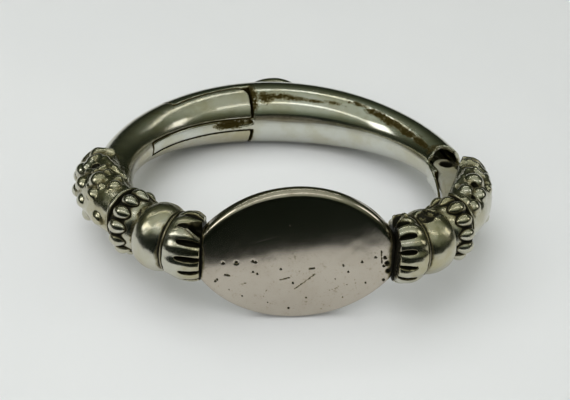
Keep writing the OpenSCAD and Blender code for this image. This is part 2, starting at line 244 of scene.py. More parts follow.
@dataclass
class Skin:
    """Turns a distance function into a mesh of even quads that lie on the surface."""

    low: tuple[float, float, float]
    high: tuple[float, float, float]
    step: float = 0.2
    block: int = 8

    def values(self, shape: Shape) -> np.ndarray:
        """Distances on the grid, worked out only near the surface."""
        b, low = self.block, np.array(self.low)
        n = np.ceil((np.array(self.high) - low) / self.step / b).astype(int)
        index = np.stack(np.meshgrid(*[np.arange(k) for k in n], indexing="ij"), -1).reshape(-1, 3)
        size = b * self.step
        coarse = shape(low + (index + 0.5) * size)
        near = np.abs(coarse) < size * 1.15 + 0.3
        grid = np.empty((len(index), b, b, b), np.float32)
        grid[...] = np.sign(coarse)[:, None, None, None] * 9
        inner = np.stack(np.meshgrid(*[np.arange(b)] * 3, indexing="ij"), -1).reshape(-1, 3) * self.step
        chosen = np.flatnonzero(near)
        for part in np.array_split(chosen, max(1, len(chosen) // 600)):
            p = (low + index[part] * size)[:, None, :] + inner[None]
            grid[part] = shape(p.reshape(-1, 3)).reshape(-1, b, b, b)
        return grid.reshape(*n, b, b, b).transpose(0, 3, 1, 4, 2, 5).reshape(n * b)

    def mesh(self, shape: Shape) -> tuple[np.ndarray, np.ndarray]:
        """The surface's vertices and quads, faces outward.

        Args:
            shape: the distance function.

        Returns:
            Vertices in mm and quads.
        """
        d = self.values(shape)
        inside = d < 0
        n = np.array(d.shape)
        count = np.zeros(n - 1, np.int8)
        for o in np.ndindex(2, 2, 2):
            count += inside[o[0]:n[0] - 1 + o[0], o[1]:n[1] - 1 + o[1], o[2]:n[2] - 1 + o[2]]
        live = (count > 0) & (count < 8)
        number = np.full(live.shape, -1, np.int64)
        number[live] = np.arange(int(live.sum()))
        cells = np.argwhere(live)
        total, hits = np.zeros((len(cells), 3)), np.zeros(len(cells))
        for axis in range(3):
            e, b, c = np.eye(3, dtype=int)[[axis, (axis + 1) % 3, (axis + 2) % 3]]
            for i, j in np.ndindex(2, 2):
                p0 = cells + i * b + j * c
                d0, d1 = d[tuple(p0.T)], d[tuple((p0 + e).T)]
                m = (d0 < 0) != (d1 < 0)
                t = d0[m] / (d0[m] - d1[m])
                total[m] += p0[m] + t[:, None] * e
                hits[m] += 1
        points = np.array(self.low) + self.step * total / hits[:, None]
        quads = []
        for axis in range(3):
            u, v = (axis + 1) % 3, (axis + 2) % 3
            b, c = np.eye(3, dtype=int)[[u, v]]
            s0, s1 = np.take(inside, range(n[axis] - 1), axis), np.take(inside, range(1, n[axis]), axis)
            at = np.argwhere(s0 != s1)
            at = at[(at[:, u] > 0) & (at[:, v] > 0)]
            at = at[(at[:, u] < n[u] - 1) & (at[:, v] < n[v] - 1)]
            q = np.stack([number[tuple((at - o).T)] for o in (0 * b, b, b + c, c)], 1)
            back = ~s0[tuple(at.T)]
            q[back] = q[back][:, ::-1]
            quads.append(q)
        for _ in range(2):
            points = self.settle(points, shape)
        return points, np.concatenate(quads)

    @staticmethod
    def settle(points: Points, shape: Shape) -> Points:
        """Moves points along the slope until they lie on the surface."""
        d = shape(points)
        slope = Skin.slope(points, shape)
        return points - slope * np.clip(d, -0.15, 0.15)[:, None]

    @staticmethod
    def slope(points: Points, shape: Shape) -> Points:
        """The unit direction in which the distance grows."""
        g = np.stack([shape(points + h) - shape(points - h) for h in np.eye(3) * 0.02], 1)
        return g / np.maximum(np.linalg.norm(g, axis=1, keepdims=True), 1e-6)


# Meshes and objects

def read(items: bpy.types.bpy_prop_collection, key: str, width: int, kind: type = np.float32) -> np.ndarray:
    """Reads one property of many elements, with a row for each."""
    values = np.empty(len(items) * width, kind)
    items.foreach_get(key, values)
    return values.reshape(-1, width)


def linked(name: str, data: bpy.types.ID) -> bpy.types.Object:
    """Makes an object and puts it in the scene."""
    made = bpy.data.objects.new(name, data)
    bpy.context.scene.collection.objects.link(made)
    return made


def new_piece(name: str, points: Points, faces: np.ndarray, material: bpy.types.Material) -> bpy.types.Object:
    """Makes an object at the origin from points in the ring's frame.

    Args:
        name: the piece's plain name.
        points: vertices in mm in the ring's own frame.
        faces: quads or triangles.
        material: its finish.

    Returns:
        The object, smooth shaded.
    """
    mesh = bpy.data.meshes.new(name)
    mesh.vertices.add(len(points))
    mesh.vertices.foreach_set("co", shifted(points, REST.matrix()).astype(np.float32).ravel())
    mesh.loops.add(faces.size)
    mesh.loops.foreach_set("vertex_index", faces.astype(np.int32).ravel())
    mesh.polygons.add(len(faces))
    mesh.polygons.foreach_set("loop_start", (np.arange(len(faces)) * faces.shape[1]).astype(np.int32))
    mesh.polygons.foreach_set("use_smooth", np.ones(len(faces), bool))
    mesh.update(calc_edges=True)
    mesh.validate()
    mesh.materials.append(material)
    return linked(name, mesh)


def joined(name: str, meshes: Sequence[bpy.types.Mesh]) -> bpy.types.Object:
    """Makes one object of several meshes that share a finish."""
    made = [linked(name, mesh) for mesh in meshes]
    if len(made) > 1:
        with bpy.context.temp_override(active_object=made[0], object=made[0], selected_objects=made,
                                       selected_editable_objects=made):
            bpy.ops.object.join()
    made[0].name = made[0].data.name = name
    return made[0]


def points_of(piece: bpy.types.Object) -> Points:
    """The piece's vertices in mm in the ring's own frame."""
    return shifted(read(piece.data.vertices, "co", 3).astype(float), REST.matrix().inverted())


def put_points(piece: bpy.types.Object, points: Points) -> None:
    """Moves the piece's vertices to points in mm in the ring's own frame."""
    piece.data.vertices.foreach_set("co", shifted(points, REST.matrix()).astype(np.float32).ravel())
    piece.data.update()


def signed_volume(mesh: bpy.types.Mesh) -> float:
    """The volume that the mesh holds, below zero if its faces point inwards."""
    mesh.calc_loop_triangles()
    corners = read(mesh.vertices, "co", 3, float)[read(mesh.loop_triangles, "vertices", 3, np.int32)]
    a, b, c = corners.transpose(1, 0, 2)
    return float(np.einsum("ij,ij->i", a, np.cross(b, c)).sum() / 6)


def note(piece: bpy.types.Object, name: str, values: np.ndarray) -> None:
    """Stores one number for each vertex, which the finishes read."""
    layer = piece.data.attributes.get(name) or piece.data.attributes.new(name, "FLOAT", "POINT")
    layer.data.foreach_set("value", np.clip(values, 0, 1).astype(np.float32))


# Node trees

def spoken(key: str) -> str:
    """A size's name as a node's input shows it."""
    return key.replace("_", " ").capitalize()


class Number:
    """A number inside a node tree, with the usual arithmetic."""

    def __init__(self, maker: "Maker", socket: bpy.types.NodeSocket) -> None:
        """Keeps the tree's maker and the socket that gives the number."""
        self.maker, self.socket = maker, socket

    def __add__(self, other: Feed) -> "Number":
        """Sum."""
        return self.maker.math("ADD", self, other)

    def __sub__(self, other: Feed) -> "Number":
        """Difference."""
        return self.maker.math("SUBTRACT", self, other)

    def __rsub__(self, other: Feed) -> "Number":
        """Difference from a plain number."""
        return self.maker.math("SUBTRACT", other, self)

    def __mul__(self, other: Feed) -> "Number":
        """Product."""
        return self.maker.math("MULTIPLY", self, other)

    def __truediv__(self, other: Feed) -> "Number":
        """Quotient."""
        return self.maker.math("DIVIDE", self, other)

    __radd__, __rmul__ = __add__, __mul__


class Maker:
    """Adds nodes to a tree and links them."""

    def __init__(self, tree: bpy.types.NodeTree) -> None:
        """Starts with the tree to fill."""
        self.tree = tree

    def socket(self, name: str, kind: str, way: str = "INPUT") -> bpy.types.NodeTreeInterfaceSocket:
        """Adds a socket to the tree's own inputs or outputs."""
        return self.tree.interface.new_socket(name, in_out=way, socket_type=f"NodeSocket{kind}")

    def put(self, target: bpy.types.NodeSocket, value: Feed) -> None:
        """Links a socket or sets its value."""
        value = value.socket if isinstance(value, Number) else value
        if isinstance(value, bpy.types.NodeSocket):
            self.tree.links.new(value, target)
        else:
            target.default_value = value

    def feed(self, node: bpy.types.Node, values: dict) -> bpy.types.Node:
        """Links or sets a node's inputs, by name or number."""
        for key, value in values.items():
            self.put(node.inputs[key], value)
        return node

    def node(self, kind: str, values: Optional[dict] = None, **settings: Any) -> bpy.types.Node:
        """Adds a node.

        Args:
            kind: the node's type.
            values: its inputs, by name or number.
            settings: its properties.

        Returns:
            The node.
        """
        made = self.tree.nodes.new(kind)
        for key, value in settings.items():
            setattr(made, key, value)
        return self.feed(made, values or {})

    def math(self, operation: str, *values: Feed) -> Number:
        """A math node."""
        made = self.node("ShaderNodeMath", dict(enumerate(values)), operation=operation)
        return Number(self, made.outputs[0])

    def between(self, value: Feed, low: Feed, high: Feed, smooth: bool = True) -> Number:
        """Goes from 0 at low to 1 at high."""
        made = self.node("ShaderNodeMapRange", dict(enumerate((value, low, high, 0.0, 1.0))),
                         interpolation_type="SMOOTHSTEP" if smooth else "LINEAR")
        return Number(self, made.outputs[0])

    def xyz(self, *numbers: Feed) -> bpy.types.NodeSocket:
        """A vector from three numbers."""
        return self.node("ShaderNodeCombineXYZ", dict(enumerate(numbers))).outputs[0]

    def noise(self, at: Feed, scale: float, detail: float = 2.0, rough: float = 0.5) -> Number:
        """Noise from 0 to 1."""
        made = self.node("ShaderNodeTexNoise",
                         {"Vector": at, "Scale": scale, "Detail": detail, "Roughness": rough})
        return Number(self, made.outputs[0])

    def blend(self, share: Feed, a: Feed, b: Feed) -> bpy.types.NodeSocket:
        """Mixes two colours."""
        return self.node("ShaderNodeMix", {0: share, 6: a, 7: b}, data_type="RGBA").outputs[2]


class GeometryTree(Maker):
    """A Geometry Nodes tree with named inputs, which grows plain meshes."""

    def __init__(self, name: str) -> None:
        """Makes the tree with its geometry sockets and the input for its finish."""
        super().__init__(bpy.data.node_groups.new(name, "GeometryNodeTree"))
        self.socket("Geometry", "Geometry")
        self.socket("Geometry", "Geometry", "OUTPUT")
        self.socket("Finish", "Material")
        self.inside, self.outside = self.node("NodeGroupInput"), self.node("NodeGroupOutput")

    def given(self, kind: str = "Float", **defaults: float) -> list[Number]:
        """Adds named inputs of one kind, with their defaults."""
        for key, value in defaults.items():
            self.socket(spoken(key), kind).default_value = value
        return [Number(self, self.inside.outputs[spoken(key)]) for key in defaults]

    def position(self) -> list[Number]:
        """The point's own x, y and z."""
        place = self.node("ShaderNodeSeparateXYZ", {0: self.node("GeometryNodeInputPosition").outputs[0]})
        return [Number(self, socket) for socket in place.outputs]

    def moved(self, geometry: bpy.types.NodeSocket, place: bpy.types.NodeSocket) -> bpy.types.NodeSocket:
        """Sets the places of the points."""
        return self.node("GeometryNodeSetPosition", {"Geometry": geometry, "Position": place}).outputs[0]

    def end(self, geometry: bpy.types.NodeSocket) -> "GeometryTree":
        """Ends the tree in Realize Instances, smooth shading and Set Material."""
        real = self.node("GeometryNodeRealizeInstances", {0: geometry})
        smooth = self.node("GeometryNodeSetShadeSmooth", {0: real.outputs[0]})
        paint = self.node("GeometryNodeSetMaterial",
                          {"Geometry": smooth.outputs[0], "Material": self.inside.outputs["Finish"]})
        self.feed(self.outside, {0: paint.outputs[0]})
        return self

    def grow(self, name: str, place: Matrix, finish: bpy.types.Material, **sizes: float) -> bpy.types.Mesh:
        """Evaluates the tree and moves the result.

        Args:
            name: the mesh's name.
            place: from the piece's own frame in mm to the row frame in metres.
            finish: its material.
            sizes: values for the named inputs, where they aren't the defaults.

        Returns:
            The mesh, with its faces outward.
        """
        seed = linked(name + "_seed", bpy.data.meshes.new(name + "_seed"))
        modifier = seed.modifiers.new("grow", "NODES")
        modifier.node_group = self.tree
        wanted = {spoken(key): value for key, value in sizes.items()} | {"Finish": finish}
        for item in self.tree.interface.items_tree:
            if item.item_type == "SOCKET" and item.in_out == "INPUT" and item.name in wanted:
                modifier[item.identifier] = wanted.pop(item.name)
        assert not wanted, f"{name}: no inputs named {sorted(wanted)}"
        seed.update_tag()
        graph = bpy.context.evaluated_depsgraph_get()
        graph.update()
        made = bpy.data.meshes.new_from_object(seed.evaluated_get(graph), depsgraph=graph)
        seed.modifiers.remove(modifier)
        bpy.data.objects.remove(seed)
        made.transform(place)
        if signed_volume(made) < 0:
            made.flip_normals()
        return made


def turned_tree() -> GeometryTree:
    """A turned and notched bead about the Y axis, in mm, between two skewed planes.

    Returns:
        The tree, whose inputs are the bead's sizes.
    """
    t = GeometryTree("turned_bead")
    start, end, start_slope, end_slope = t.given(start=0.0, end=1.0, start_slope=0.0, end_slope=0.0)
    radius, end_r, lobes, phase = t.given(radius=5.0, end_radius=4.0, lobes=12.0, phase=0.0)
    swell, depth, width, reach = t.given(swell=0.0, slot_depth=0.0, slot_width=0.6, slot_reach=0.7)
    waist, waist_at, waist_wide = t.given(waist=0.0, waist_at=0.0, waist_width=0.2)
    torn, torn_turn = t.given(torn_width=0.0, torn_turn=0.0)
    torn_reach, torn_deep = t.given(torn_reach=0.6, torn_depth=0.0)
    uneven, seed = t.given(uneven=0.0, seed=0.0)
    sides, rings = t.given("Int", sides=240, rings=60)
    full, cap, belly, weld = 2 * math.pi, 0.07, 2.3, 0.0004
    grid = t.node("GeometryNodeMeshGrid", {"Vertices X": sides, "Vertices Y": rings})
    across, up, _ = t.position()
    theta, v = (across + 0.5) * full, up + 0.5
    s = t.between(v, cap, 1 - cap, smooth=False)
    closed = t.math("MINIMUM", t.math("MINIMUM", v, 1 - v) / cap, 1.0)
    # A full round belly: the profile falls with a power of the distance from the middle
    off = t.math("POWER", t.math("ABSOLUTE", s * 2 - 1), belly)
    dip = (s - waist_at) / waist_wide
    profile = radius - (radius - end_r) * off - waist * t.math("EXPONENT", 0 - dip * dip)
    # Slots between the lobes, each a leaf of its own length and width
    turns = theta * lobes / full + phase
    apart = t.math("ABSOLUTE", t.math("FRACT", turns) - 0.5) * full * profile / lobes
    luck = t.node("ShaderNodeTexWhiteNoise", {"Vector": t.xyz(t.math("FLOOR", turns), seed, 0.0)},
                  noise_dimensions="2D")
    chance = Number(t, luck.outputs[0])
    own_reach = reach * (0.8 + chance * 0.35)
    run = t.between(s, 0.0, own_reach, smooth=False)
    leaf = t.math("POWER", t.math("MAXIMUM", (run + 0.06) * (1 - run) * 3.4, 0.0), 0.6)
    half = width * 0.5 * (0.75 + chance * 0.5) * leaf
    cut = 1 - t.between(apart, half - 0.06, half + 0.16)
    ends = 1 - t.between(s, own_reach - 0.06, own_reach)
    crown = 1 - t.between(apart / (profile * math.pi / lobes), 0.0, 0.85)
    groove = swell * crown * (1 - s * 0.55)
    cosine, sine = t.math("COSINE", theta), t.math("SINE", theta)
    rough = t.node("ShaderNodeTexNoise", {
        "Vector": t.xyz(cosine * profile, s * 6, sine * profile), "W": seed, "Scale": 0.22, "Detail": 2.5},
        noise_dimensions="4D")
    wander = Number(t, rough.outputs[0]) - 0.5
    from_torn = t.math("ABSOLUTE", t.math("WRAP", theta - torn_turn, math.pi, -math.pi)) * profile
    torn_half = torn * 0.5 * (1 - t.between(s, 0.0, torn_reach)) + wander * 0.9
    hole = 1 - t.between(from_torn, torn_half - 0.12, torn_half + 0.05)
    hole = hole * (1 - t.between(s, torn_reach, torn_reach + 0.05))
    # The sheet beside the tear stands up a little
    lip = (1 - t.between(t.math("ABSOLUTE", from_torn - torn_half - 0.22), 0.0, 0.36)) * 0.6
    lip = lip * (1 - t.between(s, torn_reach, torn_reach + 0.2)) * t.between(torn, 0.0, 0.5)
    r = (profile - depth * cut * ends - groove + uneven * wander + lip - torn_deep * hole) * closed
    x, z = r * cosine, r * sine
    y = (start + x * start_slope) * (1 - s) + (end + x * end_slope) * s
    bent = t.moved(grid.outputs["Mesh"], t.xyz(x, y, z))
    welded = t.node("GeometryNodeMergeByDistance", {"Geometry": bent, "Distance": weld})
    return t.end(welded.outputs[0])


def petal_tree() -> GeometryTree:
    """A row of drop-shaped petals round the Y axis, in mm, each a little different.

    Returns:
        The tree, whose inputs are the row's sizes.
    """
    t = GeometryTree("petal_row")
    count, seed = t.given("Int", count=12, seed=1)
    row_r, row_z, ahead, size = t.given(row_radius=4.7, row_height=4.7, ahead=0.0, size=1.4)
    wide, tall, long, tail = t.given(wide=1.0, tall=1.0, long=1.0, tail=0.0)
    vary, half = t.given(variation=0.1, half_turn=0.5)
    drop = t.node("GeometryNodeMeshUVSphere", {"Segments": 26, "Rings": 18, "Radius": 1.0})
    x, y, z = t.position()
    # The side towards the bead narrows to a tail
    narrow = 1 - tail * t.math("POWER", t.math("MAXIMUM", 0 - y, 0.0), 1.5)
    shaped = t.moved(drop.outputs[0], t.xyz(x * tall * narrow, y * long, z * wide * narrow))
    index = Number(t, t.node("GeometryNodeInputIndex").outputs[0])
    angle = (index + half) * (2 * math.pi) / count
    place = t.xyz(row_r * t.math("COSINE", angle), ahead, row_z * t.math("SINE", angle))
    row = t.node("GeometryNodePoints", {"Count": count, "Position": place})
    chance = t.node("FunctionNodeRandomValue", {2: -1.0, 3: 1.0, "Seed": seed}, data_type="FLOAT")
    grown = size * (1 + vary * Number(t, chance.outputs[1]))
    copies = t.node("GeometryNodeInstanceOnPoints", {
        "Points": row.outputs[0], "Instance": shaped, "Rotation": t.xyz(0.0, 0 - angle, 0.0),
        "Scale": t.xyz(grown, grown, grown)})
    return t.end(copies.outputs[0])


@dataclass
class Trees:
    """The Geometry Nodes trees, built once."""

    turned: GeometryTree = field(default_factory=turned_tree)
    petals: GeometryTree = field(default_factory=petal_tree)


# Finishes

COLOURS = ("bright", "warm", "patina", "tarnish")
LEVELS = ("onset", "full", "smooth", "dull", "mottle")
WEAR = ("hairlines", "hammering", "grit")


class ShaderTree(Maker):
    """A shader node group with named inputs and outputs."""

    def __init__(self, name: str, inputs: dict[str, tuple], outputs: dict[str, tuple]) -> None:
        """Makes the group with its sockets, whose names are given for each kind."""
        super().__init__(bpy.data.node_groups.new(name, "ShaderNodeTree"))
        for way, kinds in (("INPUT", inputs), ("OUTPUT", outputs)):
            for kind, names in kinds.items():
                for key in names:
                    self.socket(spoken(key), kind, way)
        self.inside, self.outside = self.node("NodeGroupInput"), self.node("NodeGroupOutput")
        self.at = self.node("ShaderNodeTexCoord").outputs["Object"]

    def given(self, *names: str) -> list[Number]:
        """The named inputs."""
        return [Number(self, self.inside.outputs[spoken(name)]) for name in names]


def patina_group() -> bpy.types.NodeTree:
    """Colour and roughness of aged silver: tarnish and painted shade gather in crevices and stains, wear
    brightens the rest.

    Returns:
        The shader group.
    """
    t = ShaderTree("aged_metal", {"Color": COLOURS, "Float": MARKS + LEVELS},
                   {"Color": ("colour",), "Float": ("roughness", "tarnished")})
    bright, warm, patina, tarnish = t.given(*COLOURS)
    crevice, stain, matt = t.given(*MARKS)
    onset, full, smooth, dull, mottle = t.given(*LEVELS)
    broad, mid, fine, grain = (t.noise(t.at, *sizes) - 0.5 for sizes in (
        (130.0, 2.0), (620.0, 3.0, 0.6), (2600.0, 2.0, 0.6), (2300.0, 3.0, 0.65)))
    # Closed-in places and stains darken with real tarnish and with painted shade in crevices, slots, dents
    # and holes
    dirt_and_shade = crevice + mid * 0.35 + fine * 0.12 - matt * 0.6
    hollow_tarnish_and_shade = t.between(dirt_and_shade, onset, full)
    speckle = (mid * 1.3 + fine * 1.5) * (0.3 + stain * 0.7) + grain * stain * 2.2
    stain_and_shade_level = stain * 1.1 + speckle
    tarnished = t.math("MAXIMUM", hollow_tarnish_and_shade, t.between(stain_and_shade_level, 0.5, 0.8))
    # A thin brown film lies round the thick dark layer
    film = t.math("MAXIMUM", t.between(dirt_and_shade, onset * 0.45, onset + 0.1), t.between(stain_and_shade_level, 0.28, 0.6))
    metal = t.blend(t.between(broad + 0.5 + mid * 0.4, 0.35, 0.72) * mottle, bright, warm)
    filmed = t.blend(film * 0.85, metal, patina)
    rough = smooth + fine * 0.06 + broad * 0.06 + film * 0.1 + matt * 0.35
    t.feed(t.outside, {
        "Colour": t.blend(tarnished, filmed, tarnish), "Tarnished": tarnished,
        "Roughness": t.math("MAXIMUM", rough, 0.03) * (1 - tarnished) + dull * tarnished})
    return t.tree


def scuff_group() -> bpy.types.NodeTree:
    """Height of fine handling marks: hairlines in two directions, soft hammer marks and grit in the dark
    layer of tarnish and painted shade.

    Returns:
        The shader group.
    """
    t = ShaderTree("scuffs", {"Float": WEAR + ("tarnished",)}, {"Float": ("height",)})
    hairlines, hammering, grit, tarnished = t.given(*WEAR, "tarnished")
    lines: list[Number] = []
    for turn, stretch in (((0.3, 0.5, 0.9), (1.0, 0.05, 1.0)), ((1.1, -0.4, 2.2), (1.0, 1.0, 0.06))):
        along_lines = t.node("ShaderNodeMapping", {"Vector": t.at, "Rotation": turn, "Scale": stretch})
        lines.append(t.between(t.noise(along_lines.outputs[0], 5200.0, 1.0), 0.62, 0.75))
    hair = (lines[0] + lines[1]) * hairlines * -0.12
    hammer = (t.noise(t.at, 320.0, 1.0) - 0.5) * hammering
    sand = (t.noise(t.at, 4200.0, 2.0, 0.7) - 0.5) * grit * (0.15 + tarnished * 0.85)
    t.feed(t.outside, {"Height": hair + hammer + sand})
    return t.tree


def new_material(name: str) -> tuple[bpy.types.Material, Maker, bpy.types.Node]:
    """A material with its maker and its main shader."""
    made = bpy.data.materials.new(name)
    made.use_nodes = True
    return made, Maker(made.node_tree), made.node_tree.nodes["Principled BSDF"]


@dataclass(frozen=True)
class Finish:
    """One kind of aged silver."""

    name: str
    slot: Slot
    bright: tuple[float, float, float] = (0.55, 0.535, 0.45)
    warm: tuple[float, float, float] = (0.45, 0.41, 0.26)
    patina: tuple[float, float, float] = (0.165, 0.135, 0.045)
    # The near-black colour paints tarnish and also the shade deep in crevices, slots and holes
    tarnish: tuple[float, float, float] = (0.009, 0.008, 0.003)
    onset: float = 0.26
    full: float = 0.5
    smooth: float = 0.17
    dull: float = 0.65
    mottle: float = 0.6
    hairlines: float = 0.4
    hammering: float = 0.5
    grit: float = 0.4
    relief: float = 0.00006
    # How much of the metal's mirror the dark layer of tarnish and painted shade, and a matt place, take away
    earthy: float = 0.45
    matt_loss: float = 0.3

    def material(self, aged: bpy.types.NodeTree, scuffs: bpy.types.NodeTree) -> bpy.types.Material:
        """Builds the material from the shared groups.

        Args:
            aged: the group of colour and roughness.
            scuffs: the group of handling marks.

        Returns:
            The material.
        """
        made, t, shader = new_material(self.name)
        marks = {spoken(n): t.node("ShaderNodeAttribute", attribute_name=n).outputs["Fac"] for n in MARKS}
        colours = {spoken(n): (*getattr(self, n), 1) for n in COLOURS}
        levels, wear = ({spoken(n): getattr(self, n) for n in names} for names in (LEVELS, WEAR))
        metal = t.node("ShaderNodeGroup", marks | colours | levels, node_tree=aged).outputs
        marred = t.node("ShaderNodeGroup", wear | {"Tarnished": metal["Tarnished"]}, node_tree=scuffs)
        bump = t.node("ShaderNodeBump",
                      {"Strength": 1.0, "Distance": self.relief, "Height": marred.outputs["Height"]})
        mirror = 1 - Number(t, metal["Tarnished"]) * self.earthy - Number(t, marks["Matt"]) * self.matt_loss
        t.feed(shader, {"Base Color": metal["Colour"], "Roughness": metal["Roughness"], "Metallic": mirror,
                        "Normal": bump.outputs[0]})
        return made


FINISHES = (
    Finish("granulated_silver", Slot.SHANK, onset=0.2, full=0.42, smooth=0.2, mottle=0.8, hairlines=0.12,
           grit=0.15),
    Finish("collar_silver", Slot.COLLAR, onset=0.24, full=0.46, smooth=0.23, mottle=0.9, hairlines=0.12,
           hammering=1.1, grit=0.2),
    Finish("plaque_silver", Slot.PLAQUE, bright=(0.52, 0.47, 0.40), warm=(0.465, 0.41, 0.335), smooth=0.15,
           hairlines=0.25, hammering=0.1, grit=0.1),
    Finish("arm_silver", Slot.ARM, bright=(0.60, 0.61, 0.55), tarnish=(0.060, 0.044, 0.009), smooth=0.15,
           mottle=0.5, hairlines=0.2, hammering=0.3, grit=0.3, earthy=0.12),
    Finish("dark_silver", Slot.DARK, bright=(0.3, 0.27, 0.19), warm=(0.22, 0.19, 0.12), onset=0.1, full=0.4,
           smooth=0.25))


def all_finishes() -> dict[Slot, bpy.types.Material]:
    """Every finish's material, by its slot."""
    aged, scuffs = patina_group(), scuff_group()
    return {finish.slot: finish.material(aged, scuffs) for finish in FINISHES}


# Sub-assemblies

@dataclass
class Shell:
    """The granulated shell that is soldered to the outer side of a shank, in mm and degrees."""

    side: Side
    # Granules: angle from the front, angle over the middle plane, radius, stretch along the shank
    grains: tuple
    # Ridges: a chain of places (angle, angle over the plane) and a radius
    ridges: tuple
    # Hollows: angle, angle over the plane, half length, half width, turn in degrees
    hollows: tuple
    # Distance from the ring's axis, radius and height of the shell's line at three places
    front: tuple[float, float, float] = (33.9, 4.2, 0.7)
    middle: tuple[float, float, float] = (35.0, 5.0, 0.5)
    back: tuple[float, float, float] = (35.2, 4.5, 0.0)
    left_bulge: float = 0.8
    start_az: float = 58.0
    end_az: float = 93.4
    bare_az: float = 68.5
    bare_r: tuple[float, float] = (31.0, 31.9)
    rim_before: float = 1.5
    rim_out: float = 0.15
    rim_r: float = 0.7
    lip_gap: float = 0.6
    lip_out: float = 0.1
    lip_r: float = 0.45
    grain_scale: float = 1.1
    grain_sunk: float = 0.42
    ridge_sunk: float = 0.25
    hollow_lift: float = 0.15
    hollow_deep: float = 1.5
    reach: float = 1.5

    def path(self, az: np.ndarray) -> tuple[np.ndarray, ...]:
        """Line, radius and height of the shell at an angle."""
        t = (az - self.start_az) / (self.end_az - self.start_az)
        bulge = (self.left_bulge if self.side is Side.LEFT else 0.0, 0.0, 0.0)
        return tuple(a + (b - a) * t + 4 * (m - (a + b) / 2 + extra) * t * (1 - t)
                     for a, m, b, extra in zip(self.front, self.middle, self.back, bulge))

    def spot(self, az: float, over: float, lift: float = 0.0) -> np.ndarray:
        """A point on the shell's surface, lifted off it."""
        line, r, z = self.path(np.float64(az))
        a, r = math.radians(over), r + lift
        return (line + r * math.cos(a)) * outward(az) + np.array([0, 0, z + r * math.sin(a)])

    def shape(self, p: Points) -> np.ndarray:
        """Distance to the shell with its rims, granules, ridges and hollows.

        Args:
            p: points, with either shank drawn on the right side.

        Returns:
            One distance for each point.
        """
        rho, az, per = polar(p)
        line, r, z = self.path(np.clip(az, self.start_az, self.end_az))
        ring = np.hypot(rho - line, p[:, 2] - z)
        body = soft_max(ring - r, (az - self.end_az) * per, 0.5)
        rim_line, rim_r, rim_z = self.path(np.float64(self.end_az - self.rim_before))
        across = np.hypot(rho - rim_line - self.rim_out, p[:, 2] - rim_z) - rim_r - self.rim_out
        rim = np.hypot(across, (az - self.end_az + self.rim_before) * per)
        body = soft_min(body, rim - self.rim_r, 0.6)
        behind = plane(p, CORNERS[self.side].collar, self.lip_gap)
        body = soft_min(body, np.hypot(ring - r - self.lip_out, behind) - self.lip_r, 0.35)
        self.add_grains(body, p)
        self.add_ridges(body, p)
        for hollow in self.hollows:
            body = without(body, self.hollow(p, *hollow), 0.12)
        bare = self.bare_r[self.side is Side.RIGHT] - p @ outward(self.bare_az)
        return soft_max(body, bare, 0.35)

    def add_grains(self, body: np.ndarray, p: Points) -> None:
        """Solders the granules on, in place."""
        for az, over, size, tall in self.grains:
            size *= self.grain_scale
            centre = self.spot(az, over, -self.grain_sunk * size)
            near = np.linalg.norm(p - centre, axis=1) < size * tall + self.reach
            if near.any():
                q = p[near] - centre
                q = q - np.outer(q @ along(az), along(az)) * (1 - 1 / tall)
                body[near] = soft_min(body[near], np.linalg.norm(q, axis=1) - size, 0.24)

    def add_ridges(self, body: np.ndarray, p: Points) -> None:
        """Solders the ridges on, in place."""
        for chain, size in self.ridges:
            spots = [self.spot(az, over, -self.ridge_sunk * size) for az, over in chain]
            for a, b in zip(spots, spots[1:]):
                near = rod(p, a, b, size + self.reach) < 0
                if near.any():
                    body[near] = soft_min(body[near], rod(p[near], a, b, size), 0.3)

    def hollow(self, p: Points, az: float, over: float, long: float, wide: float, turn: float) -> np.ndarray:
        """A long hollow across the shell's surface, turned on it."""
        q = p - self.spot(az, over, self.hollow_lift)
        a, o = math.radians(turn), math.radians(over)
        up = np.array([0, 0, 1.0])
        u, v, w = (q @ way for way in (along(az), math.cos(o) * up - math.sin(o) * outward(az),
                                       math.cos(o) * outward(az) + math.sin(o) * up))
        d = np.sqrt(((u * math.cos(a) + v * math.sin(a)) / long) ** 2
                    + ((v * math.cos(a) - u * math.sin(a)) / wide) ** 2 + (w / self.hollow_deep) ** 2)
        return (d - 1) * wide


LEFT_GRAINS = (
    # angle, over, radius, stretch
    (72.4, 67, 1.85, 1.0), (66.5, 86, 1.35, 1.0), (68.9, 63, 0.75, 1.2), (77.1, 29, 1.45, 1.2),
    (69.2, 36, 1.15, 1.3), (64.6, -7, 1.3, 1.3), (84.0, 38, 1.7, 1.1), (91.4, 70, 1.75, 0.9),
    (73.4, 2, 1.25, 1.3), (80.0, 2, 1.4, 1.0), (86.6, 12, 1.5, 1.0), (74.6, 92, 1.0, 1.0),
    (70.2, 108, 1.0, 1.0), (73, -36, 1.2, 1.0), (80.4, -32, 1.3, 1.0), (87.6, -28, 1.2, 1.0),
    (72.6, 44, 0.7, 1.0))
LEFT_RIDGES = (
    (((82.6, 52), (86.0, 62), (87.0, 78), (84.4, 96), (78.4, 114), (73.6, 130)), 0.95),
    (((79.0, 56), (76.6, 72), (78.6, 92)), 0.75))
LEFT_HOLLOWS = ((80.6, 74, 1.35, 0.85, 10),)
RIGHT_GRAINS = (
    # angle, over, radius, stretch
    (75.4, 78, 1.95, 1.0), (68.2, 88, 1.4, 1.1), (69.6, 54, 1.55, 1.1), (61.8, 72, 1.35, 1.1),
    (63.0, 48, 1.4, 1.2), (82.2, 48, 1.2, 1.0), (76.6, 38, 1.0, 1.0), (75, -34, 1.2, 1.0),
    (83.6, -30, 1.3, 1.0))
RIGHT_RIDGES = (
    (((84.0, 134), (87.6, 116), (89.4, 98), (90.0, 80), (88.4, 62), (84.6, 48), (78.4, 42)), 1.0),
    (((70.4, 112), (76.4, 104), (81.4, 94), (83.6, 76), (81.4, 60)), 0.8))
